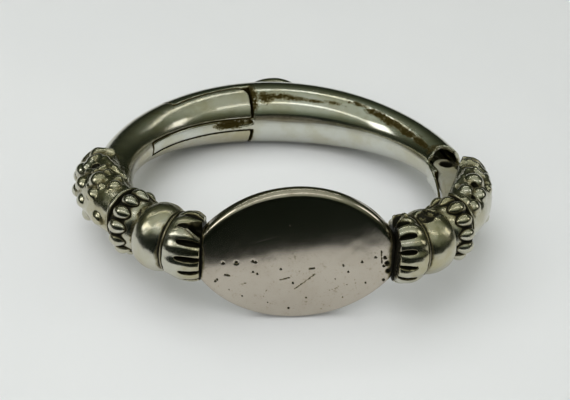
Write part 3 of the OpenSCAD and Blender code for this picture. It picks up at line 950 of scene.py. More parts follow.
RIGHT_HOLLOWS = ((71.8, 72, 0.9, 0.55, 60), (65.4, 62, 0.9, 0.5, 20), (84.8, 86, 1.6, 0.5, 80))
RELIEF = {Side.LEFT: (LEFT_GRAINS, LEFT_RIDGES, LEFT_HOLLOWS),
          Side.RIGHT: (RIGHT_GRAINS, RIGHT_RIDGES, RIGHT_HOLLOWS)}
# The corners of the box round each shank, drawn on the right side
SHANK_BOX = {Side.LEFT: ((4.0, -25.0, -7.4), (43.5, 34.5, 8.4)),
             Side.RIGHT: ((17.0, -25.0, -6.6), (43.0, 12.0, 8.4))}


@dataclass
class Hinge:
    """Places and sizes round the hinge pin."""

    eye_r: float = 2.6
    eye_top: float = 1.1
    shank_top: float = 1.6
    lug_length: float = 7.0
    lug_bottom: float = 2.0
    neck_out: float = 1.9
    hole_r: float = 1.3
    ramp_start: float = 2.2
    ramp_run: float = 4.4

    def local(self, p: Points) -> tuple[np.ndarray, np.ndarray]:
        """How far out and how far back a point lies from the pin."""
        q = p - RING.hinge_r * outward(RING.hinge_az)
        return q @ outward(RING.hinge_az), q @ along(RING.hinge_az)

    def top(self, back: np.ndarray) -> np.ndarray:
        """Height of the shank's flat, its ramp and the eye."""
        t = np.clip((-back - self.ramp_start) / self.ramp_run, 0, 1)
        return self.eye_top + (self.shank_top - self.eye_top) * t


HINGE = Hinge()


@dataclass(frozen=True)
class Lap:
    """Where the forked lap's slot, outer step and finger ends lie, in degrees from the front."""

    web_az: float = 114.8
    half_az: float = 135.5
    finger_az: float = 167.0


LAP = Lap()


@dataclass
class Shank:
    """A shank with its shell: on the left the forked tube, on the right the flat shank and the eye."""

    side: Side
    slot_half: float = 1.45
    split_r: float = 33.0
    # Radius of the outer corner at the upper and at the lower finger's end
    finger_corners: tuple[float, float] = (3.0, 0.3)
    core_r: float = 3.35
    core_before: float = 8.2
    step: float = 0.2

    def forked_tube(self, p: Points) -> np.ndarray:
        """The left tube with the slot and the two fingers of the lap."""
        rho, az, per = polar(p)
        tube = np.hypot(rho - RING.radius, p[:, 2]) - RING.tube_r(az)
        worn = np.where(p[:, 2] > 0, *self.finger_corners)
        ends = corner(rho - self.split_r, (az - LAP.finger_az) * per, worn)
        tube = soft_max(tube, np.minimum((az - LAP.half_az) * per, ends), 0.16)
        slot = np.maximum(np.abs(p[:, 2]) - self.slot_half, (LAP.web_az - az) * per)
        return without(tube, slot, 0.14)

    def eye_shank(self, p: Points) -> np.ndarray:
        """The right shank, hammered flat on top, with the hinge's eye."""
        rho, az, per = polar(p)
        out, back = HINGE.local(p)
        core = soft_max(np.hypot(rho - RING.radius, p[:, 2]) - self.core_r,
                        (az - RING.hinge_az + self.core_before) * per, 0.2)
        bar = np.maximum(np.maximum(-out - HINGE.eye_r, out - HINGE.neck_out),
                         np.maximum(back, -back - HINGE.lug_length))
        lug = soft_min(np.hypot(out, back) - HINGE.eye_r, bar, 0.2)
        both = soft_min(core, soft_max(lug, -p[:, 2] - HINGE.lug_bottom, 0.2), 0.4)
        both = soft_max(both, p[:, 2] - HINGE.top(back), 0.28)
        return without(both, np.hypot(out, back) - HINGE.hole_r, 0.18)

    def shape(self) -> Shape:
        """The distance function of the whole shank, drawn on the right side."""
        shell = Shell(self.side, *RELIEF[self.side])
        core = self.forked_tube if self.side is Side.LEFT else self.eye_shank

        def distance(p: Points) -> np.ndarray:
            """Core and shell, cut by the last collar's plane."""
            body = soft_min(core(p), shell.shape(p), 0.3)
            return soft_max(body, -plane(p, CORNERS[self.side].collar, 0.05), 0.3)

        return distance

    def build(self, finish: bpy.types.Material) -> bpy.types.Object:
        """Makes the shank.

        Args:
            finish: its material.

        Returns:
            The piece, which stands for the shank's node.
        """
        shape = self.shape()
        points, faces = Skin(*SHANK_BOX[self.side], self.step).mesh(shape)
        worn = lumps(points, 1.7, 3) * 0.6 + lumps(points, 0.6, 4) * 0.25
        amount = np.where(polar(points)[1] < 95, 0.1, 0.02)
        points = points + Skin.slope(points, shape) * (worn * amount)[:, None]
        if self.side is Side.LEFT:
            points[:, 0] *= -1
            faces = faces[:, ::-1]
        piece = new_piece(f"{self.side.name.lower()}_shank_dressed", points, faces, finish)
        if self.side is Side.RIGHT:
            self.mark_flat(piece, points)
        return piece

    @staticmethod
    def mark_flat(piece: bpy.types.Object, points: Points) -> None:
        """Dulls the hammered flat and its inner side, darkens its outer edge, and paints shade on the hole's
        rim.
        """
        out, back = HINGE.local(points)
        over = points[:, 2] - HINGE.top(back)
        flat = (np.abs(over) < 0.15) & (np.abs(out) < 3) & (back > -16)
        inner = (out < -1.0) & (back > -16) & (points[:, 2] > -2.4) & (over < 0.15)
        note(piece, "matt", np.maximum(flat * np.clip((1.6 - out) / 0.8, 0, 1), inner))
        # Painted shade: the hole's rim goes dark
        rim = np.exp(-np.clip((np.hypot(out, back) - HINGE.hole_r) / 0.3, 0, None) ** 2)
        note(piece, "stain", np.maximum(rim, flat * np.clip((out - 0.8) / 0.6, 0, 1) * 0.75))


@dataclass
class Plaque:
    """The oval plate with its worn edge, pits and scratches."""

    y: float = 29.3
    turn: float = 3.7
    lean: float = 1.75
    drop: float = 0.4
    half_height: float = 12.8
    arc: float = 20.8
    thick: float = 3.0
    swell: float = 110.0
    step: float = 0.16
    low: tuple[float, float, float] = (-18.4, -32.0, -13.4)
    high: tuple[float, float, float] = (18.4, -22.6, 13.4)
    neck_r: float = 2.8
    neck_start: float = 3.6
    neck_y: float = 27.5
    pit_share: float = 0.75
    pit_sunk: float = 0.25
    mark_deep: float = 0.05
    # Pits: place along the plate, height, radius
    pits: tuple = (
        (-13.0, -0.8, 0.22), (-10.7, -0.8, 0.42), (-7.9, -0.4, 0.26), (-7.4, -0.6, 0.24), (-7.7, -2.6, 0.22),
        (-6.9, -3.0, 0.2), (-2.9, -2.0, 0.22), (-14.1, -4.5, 0.25), (-13.8, -4.2, 0.2), (-0.5, -4.9, 0.24),
        (-0.7, -10.5, 0.26), (-9.2, -7.8, 0.18), (8.1, -1.2, 0.2), (9.1, -2.5, 0.2), (11.3, -0.4, 0.22),
        (6.9, -4.1, 0.18), (12.5, -4.8, 0.2), (8.8, -8.1, 0.17), (5.2, -10.7, 0.18), (15.3, -1.2, 0.28),
        (-4.6, -9.2, 0.15), (2.2, -8.1, 0.15), (-11.6, -6.4, 0.16), (13.6, 0.6, 0.2), (-2.0, 6.4, 0.14),
        (15.9, -0.7, 0.55), (16.3, -2.3, 0.6), (15.3, 0.5, 0.35), (15.7, -4.2, 0.35))
    # Scratches: from, to, width
    scratches: tuple = (
        ((-12.6, -3.2), (-11.7, -3.4), 0.16), ((-2.9, -4.3), (-1.2, -3.8), 0.13),
        ((0.0, -6.2), (3.3, -3.0), 0.11), ((14.5, 1.8), (14.9, -0.7), 0.13),
        ((2.0, -1.9), (3.0, -1.8), 0.15), ((-9.8, -5.3), (-8.7, -5.0), 0.09),
        ((6.2, -6.5), (9.4, -5.2), 0.07), ((-5.5, -8.0), (-4.9, -6.2), 0.07),
        ((-8.0, 3.0), (-3.5, 4.4), 0.06), ((10.2, -3.3), (11.0, -6.0), 0.07))

    def frame(self) -> np.ndarray:
        """The plate's own axes in the ring's frame."""
        a, b = math.radians(self.turn), math.radians(self.lean)
        about_z = np.array([[math.cos(a), -math.sin(a), 0], [math.sin(a), math.cos(a), 0], [0, 0, 1]])
        about_y = np.array([[math.cos(b), 0, math.sin(b)], [0, 1, 0], [-math.sin(b), 0, math.cos(b)]])
        return about_z @ about_y

    def local(self, p: Points) -> Points:
        """Points in the plate's own axes, with the face at y = 0."""
        return (p + np.array([0, self.y, self.drop])) @ self.frame()

    def shape(self, p: Points) -> np.ndarray:
        """Distance to the plate with its necks and pits.

        Args:
            p: points in the ring's frame.

        Returns:
            One distance for each point.
        """
        q = self.local(p)
        inset = self.arc - self.half_height
        upper, lower = (np.hypot(q[:, 0], q[:, 2] + s * inset) - self.arc for s in (1, -1))
        outline = soft_max(upper, lower, 0.3)
        face = q[:, 2] ** 2 / (2 * self.swell) - q[:, 1]
        worn = 0.75 + 0.6 * np.clip(q[:, 2] / 5, 0, 1)
        plate = soft_max(corner(face, outline, worn), q[:, 1] - self.thick, 0.5)
        m = p.copy()
        m[:, 0] = np.abs(m[:, 0])
        middle = RING.bend(0) + np.array([0, RING.corner_r, 0])
        away = m - middle
        neck = np.hypot(np.hypot(away[:, 0], away[:, 1]) - RING.corner_r, p[:, 2]) - self.neck_r
        place = np.degrees(np.arctan2(away[:, 0], -away[:, 1]))
        start = (self.neck_start - place) * RING.corner_r * math.radians(1)
        neck = np.maximum(soft_max(neck, start, 0.4), -p[:, 1] - self.neck_y)
        both = soft_min(plate, neck, 0.5)
        ends = [plane(m, CORNERS[side].plaque, -0.05) for side in (Side.LEFT, Side.RIGHT)]
        both = soft_max(both, np.where(p[:, 0] < 0, *ends), 0.12)
        for x, z, r in self.pits:
            r *= self.pit_share
            near = np.hypot(q[:, 0] - x, q[:, 2] - z) < r + 0.4
            if near.any():
                centre = np.array([x, z * z / (2 * self.swell) - self.pit_sunk * r, z])
                both[near] = without(both[near], ball(q[near], centre, r), 0.06)
        return both

    def build(self, finish: bpy.types.Material) -> bpy.types.Object:
        """Makes the plaque.

        Args:
            finish: its material.

        Returns:
            The piece, which stands for the plaque's node.
        """
        points, faces = Skin(self.low, self.high, self.step).mesh(self.shape)
        q = self.local(points)
        marks = np.zeros(len(points))
        for (x0, z0), (x1, z1), w in self.scratches:
            a, d = np.array([x0, z0]), np.array([x1 - x0, z1 - z0])
            flat = q[:, [0, 2]]
            t = np.clip((flat - a) @ d / (d @ d), 0, 1)
            far = np.linalg.norm(flat - (a + t[:, None] * d), axis=1)
            marks = np.maximum(marks, np.exp(-(far / w) ** 2) * np.clip(w * 8, 0, 1))
        for x, z, r in self.pits:
            far = np.hypot(q[:, 0] - x, q[:, 2] - z)
            marks = np.maximum(marks, np.exp(-(far / (r * 0.8)) ** 3) * 1.2)
        marks *= q[:, 1] < 1.2
        slope = Skin.slope(points, self.shape)
        dents = lumps(points, 5.0, 8) * 0.035 + lumps(points, 1.6, 9) * 0.008
        points = points + slope * (dents - marks * self.mark_deep)[:, None]
        piece = new_piece("plaque_dressed", points, faces, finish)
        tips = np.clip((np.abs(q[:, 0] - 0.5) - 14.6) / 2.6, 0, 1) * (q[:, 0] > 0) * 0.55
        note(piece, "stain", np.maximum(np.maximum(marks * 0.95, 0.19), tips))
        return piece


TURNED_SIZES = ("radius", "end_radius", "lobes", "phase", "swell", "slot_depth", "slot_width", "slot_reach",
                "uneven", "seed", "sides", "rings")
WAIST_SIZES = ("waist", "waist_at", "waist_width")
TORN_SIZES = ("torn_width", "torn_turn", "torn_reach", "torn_depth")
PETAL_SIZES = ("count", "row_radius", "size", "ahead", "tall", "long", "tail")


@dataclass
class Collar:
    """One turned piece of a front corner, threaded between two planes."""

    node: str
    side: Side
    start: tuple[float, float]
    end: tuple[float, float]
    radius: float
    end_radius: float
    slot: Slot = Slot.COLLAR
    lobes: float = 12.0
    phase: float = 0.0
    swell: float = 0.0
    slot_depth: float = 0.0
    slot_width: float = 0.6
    slot_reach: float = 0.7
    uneven: float = 0.1
    seed: float = 1.0
    sides: int = 240
    rings: int = 60
    # Values for WAIST_SIZES, TORN_SIZES and PETAL_SIZES
    waist: tuple[float, float, float] = (0.0, 0.0, 0.2)
    torn: tuple[float, float, float, float] = (0.0, 0.0, 0.5, 0.0)
    petals: Optional[tuple] = None
    # Dents: place on the bend, offset inwards, height, radius
    dents: tuple = ()
    gap: float = 0.03

    def facing(self) -> float:
        """The angle that the piece's middle faces."""
        return (self.start[1] + self.end[1]) / 2

    def middle(self) -> np.ndarray:
        """The piece's middle on the bend."""
        return (RING.bend(self.start[0]) + RING.bend(self.end[0])) / 2

    def cut(self, end: tuple[float, float], gap: float) -> tuple[float, float]:
        """Where a plane meets the piece's axis, and its slope."""
        t = along(end[1])
        down = float(along(self.facing()) @ t)
        at = float((RING.bend(end[0]) - self.middle()) @ t) + gap
        return at / down, float(-(outward(self.facing()) @ t)) / down

    def place(self) -> Matrix:
        """From the piece's own frame, with Y along the ring, to the row frame."""
        turn = axes(outward(self.facing()), along(self.facing()), np.array([0, 0, 1.0]))
        mirror = Matrix.Diagonal((self.side.value, 1, 1, 1))
        return REST.matrix() @ mirror @ Matrix.Translation(self.middle()) @ turn

    def build(self, trees: Trees, finish: bpy.types.Material) -> bpy.types.Object:
        """Grows the piece and presses its dents.

        Args:
            trees: the Geometry Nodes trees.
            finish: its material.

        Returns:
            The piece, which stands for its node.
        """
        name = self.node + "_dressed"
        (y0, s0), (y1, s1) = self.cut(self.start, self.gap), self.cut(self.end, -self.gap)
        sizes = {key: getattr(self, key) for key in TURNED_SIZES}
        sizes |= dict(zip(WAIST_SIZES + TORN_SIZES, self.waist + self.torn))
        parts = [trees.turned.grow(name, self.place(), finish, start=y0, end=y1, start_slope=s0, end_slope=s1,
                                   **sizes)]
        if self.petals:
            sizes = dict(zip(PETAL_SIZES, self.petals))
            parts.append(trees.petals.grow(
                name + "_petals", self.place(), finish, row_height=sizes["row_radius"], wide=0.92,
                variation=0.08, seed=int(self.seed), **sizes))
        piece = joined(name, parts)
        self.press(piece)
        self.stain(piece)
        return piece

    def dented(self, p: Points) -> list[tuple[np.ndarray, np.ndarray, float]]:
        """For each dent the bend's point below it, the points' distances from its middle, and its radius."""
        rows = []
        for place, inward, height, r in self.dents:
            centre = RING.bend(place) - inward * outward(self.facing()) + np.array([0, 0, height])
            rows.append((RING.bend(place), np.linalg.norm(p - centre, axis=1), r))
        return rows

    def press(self, piece: bpy.types.Object) -> None:
        """Pushes in the dents, towards the bend."""
        if not self.dents:
            return
        p = points_of(piece)
        p[:, 0] *= self.side.value
        for i in range(len(self.dents)):
            below, d, r = self.dented(p)[i]
            push = np.clip(r + 0.12 * lumps(p, 1.2, 5) - d, 0, None)
            inwards = below - p
            inwards /= np.linalg.norm(inwards, axis=1, keepdims=True)
            p = p + inwards * np.minimum(push, 1.5)[:, None]
        p[:, 0] *= self.side.value
        put_points(piece, p)

    def stain(self, piece: bpy.types.Object) -> None:
        """Paints near-black shade into what lies deep below the piece's outline, browns the waist with
        patina, and darkens the tear with painted shade and the dents with tarnish and painted shade.
        """
        p = points_of(piece)
        p[:, 0] *= self.side.value
        q = p - self.middle()
        ahead, out = q @ along(self.facing()), q @ outward(self.facing())
        radius, turn = np.hypot(out, q[:, 2]), np.arctan2(q[:, 2], out)
        (y0, s0), (y1, s1) = self.cut(self.start, self.gap), self.cut(self.end, -self.gap)
        first, last = y0 + out * s0, y1 + out * s1
        share = np.clip((ahead - first) / (last - first), 0, 1)
        count = 24
        rows = np.minimum((share * count).astype(int), count - 1)
        bands = [radius[rows == i] for i in range(count)]
        tops = np.array([np.percentile(band, 90) if len(band) else 0 for band in bands])
        deep = tops[rows] - radius
        total = np.zeros(len(p))
        # Painted shade: the slots and the gaps among the petals, deep below the outline, go near black
        if self.slot_depth or self.petals:
            total = np.clip((deep - 0.3) / 0.4, 0, 1) * (deep < 2.6) * 0.95
        if self.waist[0]:
            waist = np.clip((0.32 - share) / 0.08, 0, 1) * np.clip((5.4 - radius) / 0.3, 0, 1) * 0.56
            total = np.where(share < 0.3, waist, total)
        # Painted shade inside the tear
        if self.torn[0]:
            inside = (np.abs(turn - self.torn[1]) * radius < self.torn[0] * 0.55) & (share < self.torn[2])
            total = np.where(inside & (deep > 0.3), 0.42, total)
        # The dents darken with tarnish and painted shade
        for _, d, r in self.dented(p):
            total = np.maximum(total, np.clip((r - d) / 0.25, 0, 1) * 1.15)
        note(piece, "stain", total)


def collars() -> list[Collar]:
    """Both corners' turned pieces, in order from the plaque."""
    rows: list[Collar] = []
    for side in Side:
        left, tag, c = side is Side.LEFT, side.name.lower(), CORNERS[side]
        rows += [
            Collar(f"melon_collar_{tag}", side, c.plaque, c.melon, 6.2, 5.5, lobes=13.0,
                   phase=0.251 if left else 0.601, swell=0.3, slot_depth=1.2, slot_width=0.82,
                   slot_reach=0.66, uneven=0.5, seed=2.0 if left else 5.0, sides=340, rings=70,
                   torn=(2.7, 1.07, 0.6, 1.5) if left else (2.6, 1.75, 0.55, 1.3)),
            Collar(f"spacer_ring_{tag}", side, c.melon, c.ring, 5.6, 5.5, Slot.DARK, uneven=0.2, seed=3.0,
                   sides=160, rings=20),
            Collar(f"smooth_bead_{tag}", side, c.ring, c.bead, 6.1 if left else 5.9, 5.15, uneven=0.5,
                   seed=4.0 if left else 7.0, sides=220,
                   dents=() if left else ((33.0, -0.1, 6.7, 2.2), (38.8, 0.5, 6.9, 2.3))),
            Collar(f"notched_collar_{tag}", side, c.bead, c.collar, 4.95, 4.5, uneven=0.3,
                   seed=6.0 if left else 8.0, sides=180, rings=50, waist=(0.85, 0.12, 0.2),
                   petals=(12, 4.72, 1.46, 1.0, 1.0, 1.28, 0.3))]
    return rows


@dataclass
class Arm:
    """The hollow rear arm with its lap's tongue and its cut hinge end, in mm and degrees."""

    sheet: float = 0.8
    solid_az: float = 128.0
    hinge_before: float = 4.6
    roof_az: float = 104.0
    roof_r: float = 31.4
    roof_low: float = 0.15
    # The thin inner wall: its angles, distance from the axis, half thickness, foot and sloping top
    flap_az: float = 79.0
    flap_end: float = 101.0
    flap_r: float = 30.25
    flap_half: float = 0.24
    flap_foot: float = -2.4
    flap_top: float = -1.7
    flap_slope: float = 13.0
    web_gap: float = 0.6
    web_half: float = 1.25
    half_gap: float = 0.2
    end_gap: float = 1.28
    split_r: float = 33.2
    swing: float = 50.0
    # Room for the shank's eye and bar: radius, reach inwards, outwards and forwards, and the floor under both
    eye_room: float = 2.85
    bar_room: tuple[float, float, float] = (2.75, 2.2, 10.0)
    room_floor: float = -2.3
    # Room cut from the outer wall: from how far out, how far forwards and how far back
    wall_room: tuple[float, float, float] = (0.4, 4.0, 1.2)
    # A darkened hollow beside the upper finger's end, where the web doesn't fill the slot
    hollow_az: float = -158.5
    hollow_r: float = 27.35
    hollow_z: float = 0.5
    hollow_half: tuple[float, float, float] = (4.6, 1.0, 1.0)
    step: float = 0.24
    low: tuple[float, float, float] = (-36.5, -7.0, -7.6)
    high: tuple[float, float, float] = (39.0, 41.8, 7.6)

    def shape(self, p: Points) -> np.ndarray:
        """Distance to the arm.

        Args:
            p: points in the ring's frame.

        Returns:
            One distance for each point.
        """
        rho, az, per = polar(p)
        z, left = p[:, 2], 360 - az
        ring = np.hypot(rho - RING.radius, z)
        tube = ring - RING.tube_r(az)
        inner = np.maximum(tube + self.sheet, (az - self.solid_az) * per)
        tube = soft_max(tube, (RING.hinge_az - self.hinge_before - az) * per, 0.1)
        tube = soft_max(tube, (LAP.web_az + self.web_gap - left) * per, 0.1)
        tube = without(np.maximum(tube, np.where(az < 40, 5.0, -50.0)), inner, 0.12)
        over = np.maximum(self.web_half - np.abs(z), np.where(az > 180, 0.0, 20.0))
        fingers = np.maximum((left - LAP.finger_az - self.end_gap) * per, rho - self.split_r)
        for cut in (fingers, (left - LAP.half_az - self.half_gap) * per):
            tube = without(tube, np.maximum(cut, over), 0.14)
        tube = np.minimum(tube, self.flap(rho, az, per, z))
        # The roof's ragged edge reaches a little further at its top
        edge = self.roof_az - 0.5 * np.clip(z - 2, 0, 4.2) + lumps(p, 0.7, 21) * 0.25
        for low in (np.maximum(self.roof_r - rho, self.roof_low - z), HINGE.eye_top - z):
            tube = without(tube, np.maximum((az - edge) * per, low), 0.12)
        out, back = HINGE.local(p)
        for room in self.hinge_room(out, back, z):
            tube = without(tube, room, 0.08)
        q = p - (self.hollow_r * outward(self.hollow_az) + np.array([0, 0, self.hollow_z]))
        own = np.stack([q @ along(self.hollow_az), q @ outward(self.hollow_az), q[:, 2]], 1)
        tube = without(tube, (np.linalg.norm(own / self.hollow_half, axis=1) - 1) * 0.8, 0.1)
        return without(tube, np.hypot(out, back) - HINGE.hole_r, 0.08)

    def flap(self, rho: np.ndarray, az: np.ndarray, per: np.ndarray, z: np.ndarray) -> np.ndarray:
        """The thin inner wall that reaches forwards past the hinge, with a sloping top."""
        ends = np.maximum((self.flap_az - az) * per, (az - self.flap_end) * per)
        top = self.flap_top + math.tan(math.radians(self.flap_slope)) * (az - self.flap_az) * per
        wall = np.maximum(np.abs(rho - self.flap_r) - self.flap_half, ends)
        return np.maximum(wall, np.maximum(z - top, self.flap_foot - z))

    def hinge_room(self, out: np.ndarray, back: np.ndarray, z: np.ndarray) -> list[np.ndarray]:
        """The room that the shank's eye and bar need over the whole swing, and the gap in the outer wall."""
        floor = self.room_floor - z
        inwards, outwards, forwards = self.bar_room
        rooms = [np.maximum(np.hypot(out, back) - self.eye_room, floor)]
        for a in np.radians(np.linspace(0, self.swing, 6)):
            u, v = out * math.cos(a) + back * math.sin(a), back * math.cos(a) - out * math.sin(a)
            bar = np.maximum(np.maximum(-u - inwards, u - outwards), np.maximum(v, -v - forwards))
            rooms.append(np.maximum(bar, floor))
        start, ahead, behind = self.wall_room
        return rooms + [np.maximum(np.maximum(start - out, -back - ahead), back - behind)]

    def build(self, finish: bpy.types.Material) -> bpy.types.Object:
        """Makes the arm.

        Args:
            finish: its material.

        Returns:
            The piece, which stands for the arm's node.
        """
        points, faces = Skin(self.low, self.high, self.step).mesh(self.shape)
        slope = Skin.slope(points, self.shape)
        points = points + slope * (lumps(points, 7.0, 11) * 0.03)[:, None]
        piece = new_piece("rear_arm_dressed", points, faces, finish)
        note(piece, "stain", self.tarnish_and_gap_shade(points))
        return piece

    def tarnish_and_gap_shade(self, points: Points) -> np.ndarray:
        """Brown tarnish on the arm's top and beside the seams, with painted shade in the gap beside the
        finger's end.
        """
        rho, az, per = polar(points)
        over = np.degrees(np.arctan2(points[:, 2], rho - RING.radius)) % 360
        total = np.zeros(len(points))
        # The strip at 191.5 degrees holds tarnish and painted shade of the gap beside the finger's end; the
        # patch at 202.5 degrees darkens the hollow
        # Patches: angle, angle over the plane, reach along, reach over, strength
        for a, o, w, h, k in ((186, 128, 4, 13, 1.0), (180, 126, 6, 7, 0.95), (173, 129, 6, 6, 0.85),
                              (165, 130, 6, 5, 0.7), (157, 126, 7, 5, 0.6), (191.5, 126, 2.4, 34, 0.95),
                              (147, 113, 6, 7, 0.75), (137.5, 119.5, 7, 10, 1.05), (130, 125, 6.5, 11, 1.15),
                              (122, 129, 6.5, 11, 1.15), (113, 130.5, 6.5, 10, 1.15),
                              (128, 121, 18, 15, 0.45), (202.5, 175, 7.5, 12, 1.3),
                              (106, 120, 2.4, 40, 0.62)):
            d = ((az - a) / w) ** 2 + ((over - o) / h) ** 2
            total = np.maximum(total, k * np.exp(-d))
        return total


@dataclass
class Rosette:
    """The low lobed boss at the middle of the back."""

    az: float = 181.0
    wide: float = 7.5
    tall: float = 5.6
    foot: float = 4.6
    plate: float = 7.3
    plate_r: float = 5.75
    plate_end_r: float = 5.4
    oval: float = 1.32
    petals: int = 10
    petal_r: float = 1.6
    boss_r: float = 1.8
    shank_r: float = 0.95
    shank: tuple[float, float] = (5.4, 6.9)
    seat_gap: float = 0.08

    def build(self, trees: Trees, finish: bpy.types.Material) -> bpy.types.Object:
        """Grows the boss.

        Args:
            trees: the Geometry Nodes trees.
            finish: its material.

        Returns:
            The piece, which stands for the rosette's node.
        """
        turn = axes(along(self.az), outward(self.az), np.array([0, 0, 1.0]))
        place = REST.matrix() @ Matrix.Translation(RING.radius * outward(self.az)) @ turn
        oval = place @ Matrix.Diagonal((self.oval, 1.0, 1.0, 1.0))
        disc = trees.turned.grow("rosette_plate", oval, finish, start=self.foot, end=self.plate,
                                 radius=self.plate_r, end_radius=self.plate_end_r,
                                 lobes=float(self.petals), uneven=0.2, sides=120, rings=30)
        boss = trees.petals.grow("rosette_boss", place, finish, count=1, row_radius=0.0, row_height=0.0,
                                 size=self.boss_r, ahead=self.plate - 0.6, variation=0.0)
        row = trees.petals.grow("rosette_row", place, finish, count=self.petals,
                                row_radius=self.wide - self.petal_r, row_height=self.tall - self.petal_r,
                                size=self.petal_r, tall=0.9, ahead=self.plate - 0.85, half_turn=0.0,
                                variation=0.04, seed=4)
        shank = trees.turned.grow("rosette_shank", place, finish, start=self.shank[0], end=self.shank[1],
                                  radius=self.shank_r, end_radius=self.shank_r, sides=40, rings=12)
        piece = joined("rosette_dressed", [disc, boss, row, shank])
        self.seat(piece)
        return piece

    def seat(self, piece: bpy.types.Object) -> None:
        """Presses the back of the plate on to the tube."""
        p = points_of(piece)
        rho = np.hypot(p[:, 0], p[:, 1])
        ring = np.hypot(rho - RING.radius, p[:, 2])
        on_shank = np.hypot(p[:, 0], p[:, 2]) < self.shank_r + 0.1
        seat = RING.rear_r + self.seat_gap
        k = np.where(~on_shank & (ring < seat), seat, ring) / np.maximum(ring, 1e-6)
        new_rho = RING.radius + (rho - RING.radius) * k
        p[:, :2] *= (new_rho / rho)[:, None]
        p[:, 2] *= k
        put_points(piece, p)


@dataclass
class Pin:
    """The hinge pin, sunk in its hole."""

    radius: float = 1.25
    top: float = -0.7
    length: float = 3.1

    def build(self, trees: Trees, finish: bpy.types.Material) -> bpy.types.Object:
        """Grows the pin about the ring's normal.

        Args:
            trees: the Geometry Nodes trees.
            finish: its material.

        Returns:
            The piece, which stands for the pin's node.
        """
        # The tree turns about its own Y, which stands along the ring's normal here
        turn = axes(outward(RING.hinge_az), np.array([0, 0, 1.0]), along(RING.hinge_az))
        place = REST.matrix() @ Matrix.Translation(RING.hinge_r * outward(RING.hinge_az)) @ turn
        mesh = trees.turned.grow("hinge_pin_dressed", place, finish, start=self.top - self.length,
                                 end=self.top, radius=self.radius, end_radius=self.radius - 0.03,
                                 uneven=0.02, sides=48, rings=20)
        return joined("hinge_pin_dressed", [mesh])


# Crevices

@dataclass
class Crevices:
    """Finds how closed-in each point of the finished pieces is, in metres, for the tarnish and the painted
    shade in hollows.
    """

    reach: float = 0.0032
    lift: float = 0.00006
    rays: int = 12
    strength: float = 1.6

    def directions(self) -> np.ndarray:
        """Even directions over a half ball about Z."""
        i = np.arange(self.rays) + 0.5
        z = 1 - i / self.rays * 0.86
        a = i * math.pi * (3 - math.sqrt(5))
        r = np.sqrt(1 - z * z)
        return np.stack([r * np.cos(a), r * np.sin(a), z], 1)

    def mark(self, pieces: Sequence[bpy.types.Object]) -> None:
        """Stores on each piece how closed-in each point is, for tarnish and painted shade in the hollows.

        Args:
            pieces: all pieces at rest.
        """
        corners, faces, start = [], [], 0
        for piece in pieces:
            corners.append(read(piece.data.vertices, "co", 3))
            piece.data.calc_loop_triangles()
            faces.append(read(piece.data.loop_triangles, "vertices", 3, np.int32) + start)
            start += len(corners[-1])
        cast = BVHTree.FromPolygons(np.concatenate(corners).tolist(), np.concatenate(faces).tolist(),
                                    all_triangles=True).ray_cast
        for piece, co in zip(pieces, corners):
            n = read(piece.data.vertices, "normal", 3)
            side = np.where(np.abs(n[:, 2:]) < 0.8, [[0, 0, 1]], [[1, 0, 0]])
            u = np.cross(n, side)
            u /= np.maximum(np.linalg.norm(u, axis=1, keepdims=True), 1e-9)
            v = np.cross(n, u)
            shut = np.zeros(len(co))
            origin = (co + n * self.lift).tolist()
            for d in self.directions():
                ways = u * d[0] + v * d[1] + n * d[2]
                hits = [cast(o, w, self.reach)[3] for o, w in zip(origin, ways.tolist())]
                shut += np.array([0.0 if h is None else 1 - h / self.reach for h in hits])
            note(piece, "crevice", self.spread(piece, shut / self.rays * self.strength))

    @staticmethod
    def spread(piece: bpy.types.Object, values: np.ndarray) -> np.ndarray:
        """Smooths values over the mesh's edges."""
        a, b = read(piece.data.edges, "vertices", 2, np.int32).T
        n = len(values)
        count = np.bincount(a, minlength=n) + np.bincount(b, minlength=n)
        for _ in range(3):
            total = np.bincount(a, values[b], n) + np.bincount(b, values[a], n)
            values = 0.4 * values + 0.6 * total / np.maximum(count, 1)
        return values


# Studio

@dataclass(frozen=True)
class CameraFit:
    """The photograph's view, fitted in the ring's frame: angles in radians, distance in mm, pixels."""

    height: float = 0.46888
    distance: float = 198.036
    focal: float = 1000.0
    aim_x: float = -0.00090
    aim_y: float = -0.02032
    roll: float = 0.0645
    turn: float = 5.5
    width: int = 570

    def matrix(self) -> Matrix:
        """The camera's place in the ring's frame, in mm."""
        pos = self.distance * np.array([0, -math.cos(self.height), math.sin(self.height)])
        ahead = -pos / np.linalg.norm(pos)

        def level(way: np.ndarray) -> tuple[np.ndarray, np.ndarray]:
            """The right and up directions for a level look along way."""
            right = np.cross(way, [0, 0, 1.0])
            right /= np.linalg.norm(right)
            return right, np.cross(right, way)

        right, up = level(ahead)
        way = ahead + right * math.tan(self.aim_x) + up * math.tan(self.aim_y)
        way /= np.linalg.norm(way)
        right, up = level(way)
        c, s = math.cos(self.roll), math.sin(self.roll)
        right, up = c * right + s * up, -s * right + c * up
        turn = Matrix.Rotation(-math.radians(self.turn), 4, "Z")
        return turn @ Matrix.Translation(pos) @ axes(right, up, -way)

    def build(self) -> None:
        """Makes the camera and sets it as the scene's."""
        data = bpy.data.cameras.new("photo_view")
        data.sensor_width = 36.0
        data.lens = self.focal * 36.0 / self.width
        data.clip_start, data.clip_end = 0.01, 20.0
        camera = linked("photo_view", data)
        place = REST.matrix() @ self.matrix()
        turn = place.to_quaternion().to_matrix().to_4x4()
        camera.matrix_world = Matrix.Translation(place.to_translation()) @ turn
        bpy.context.scene.camera = camera


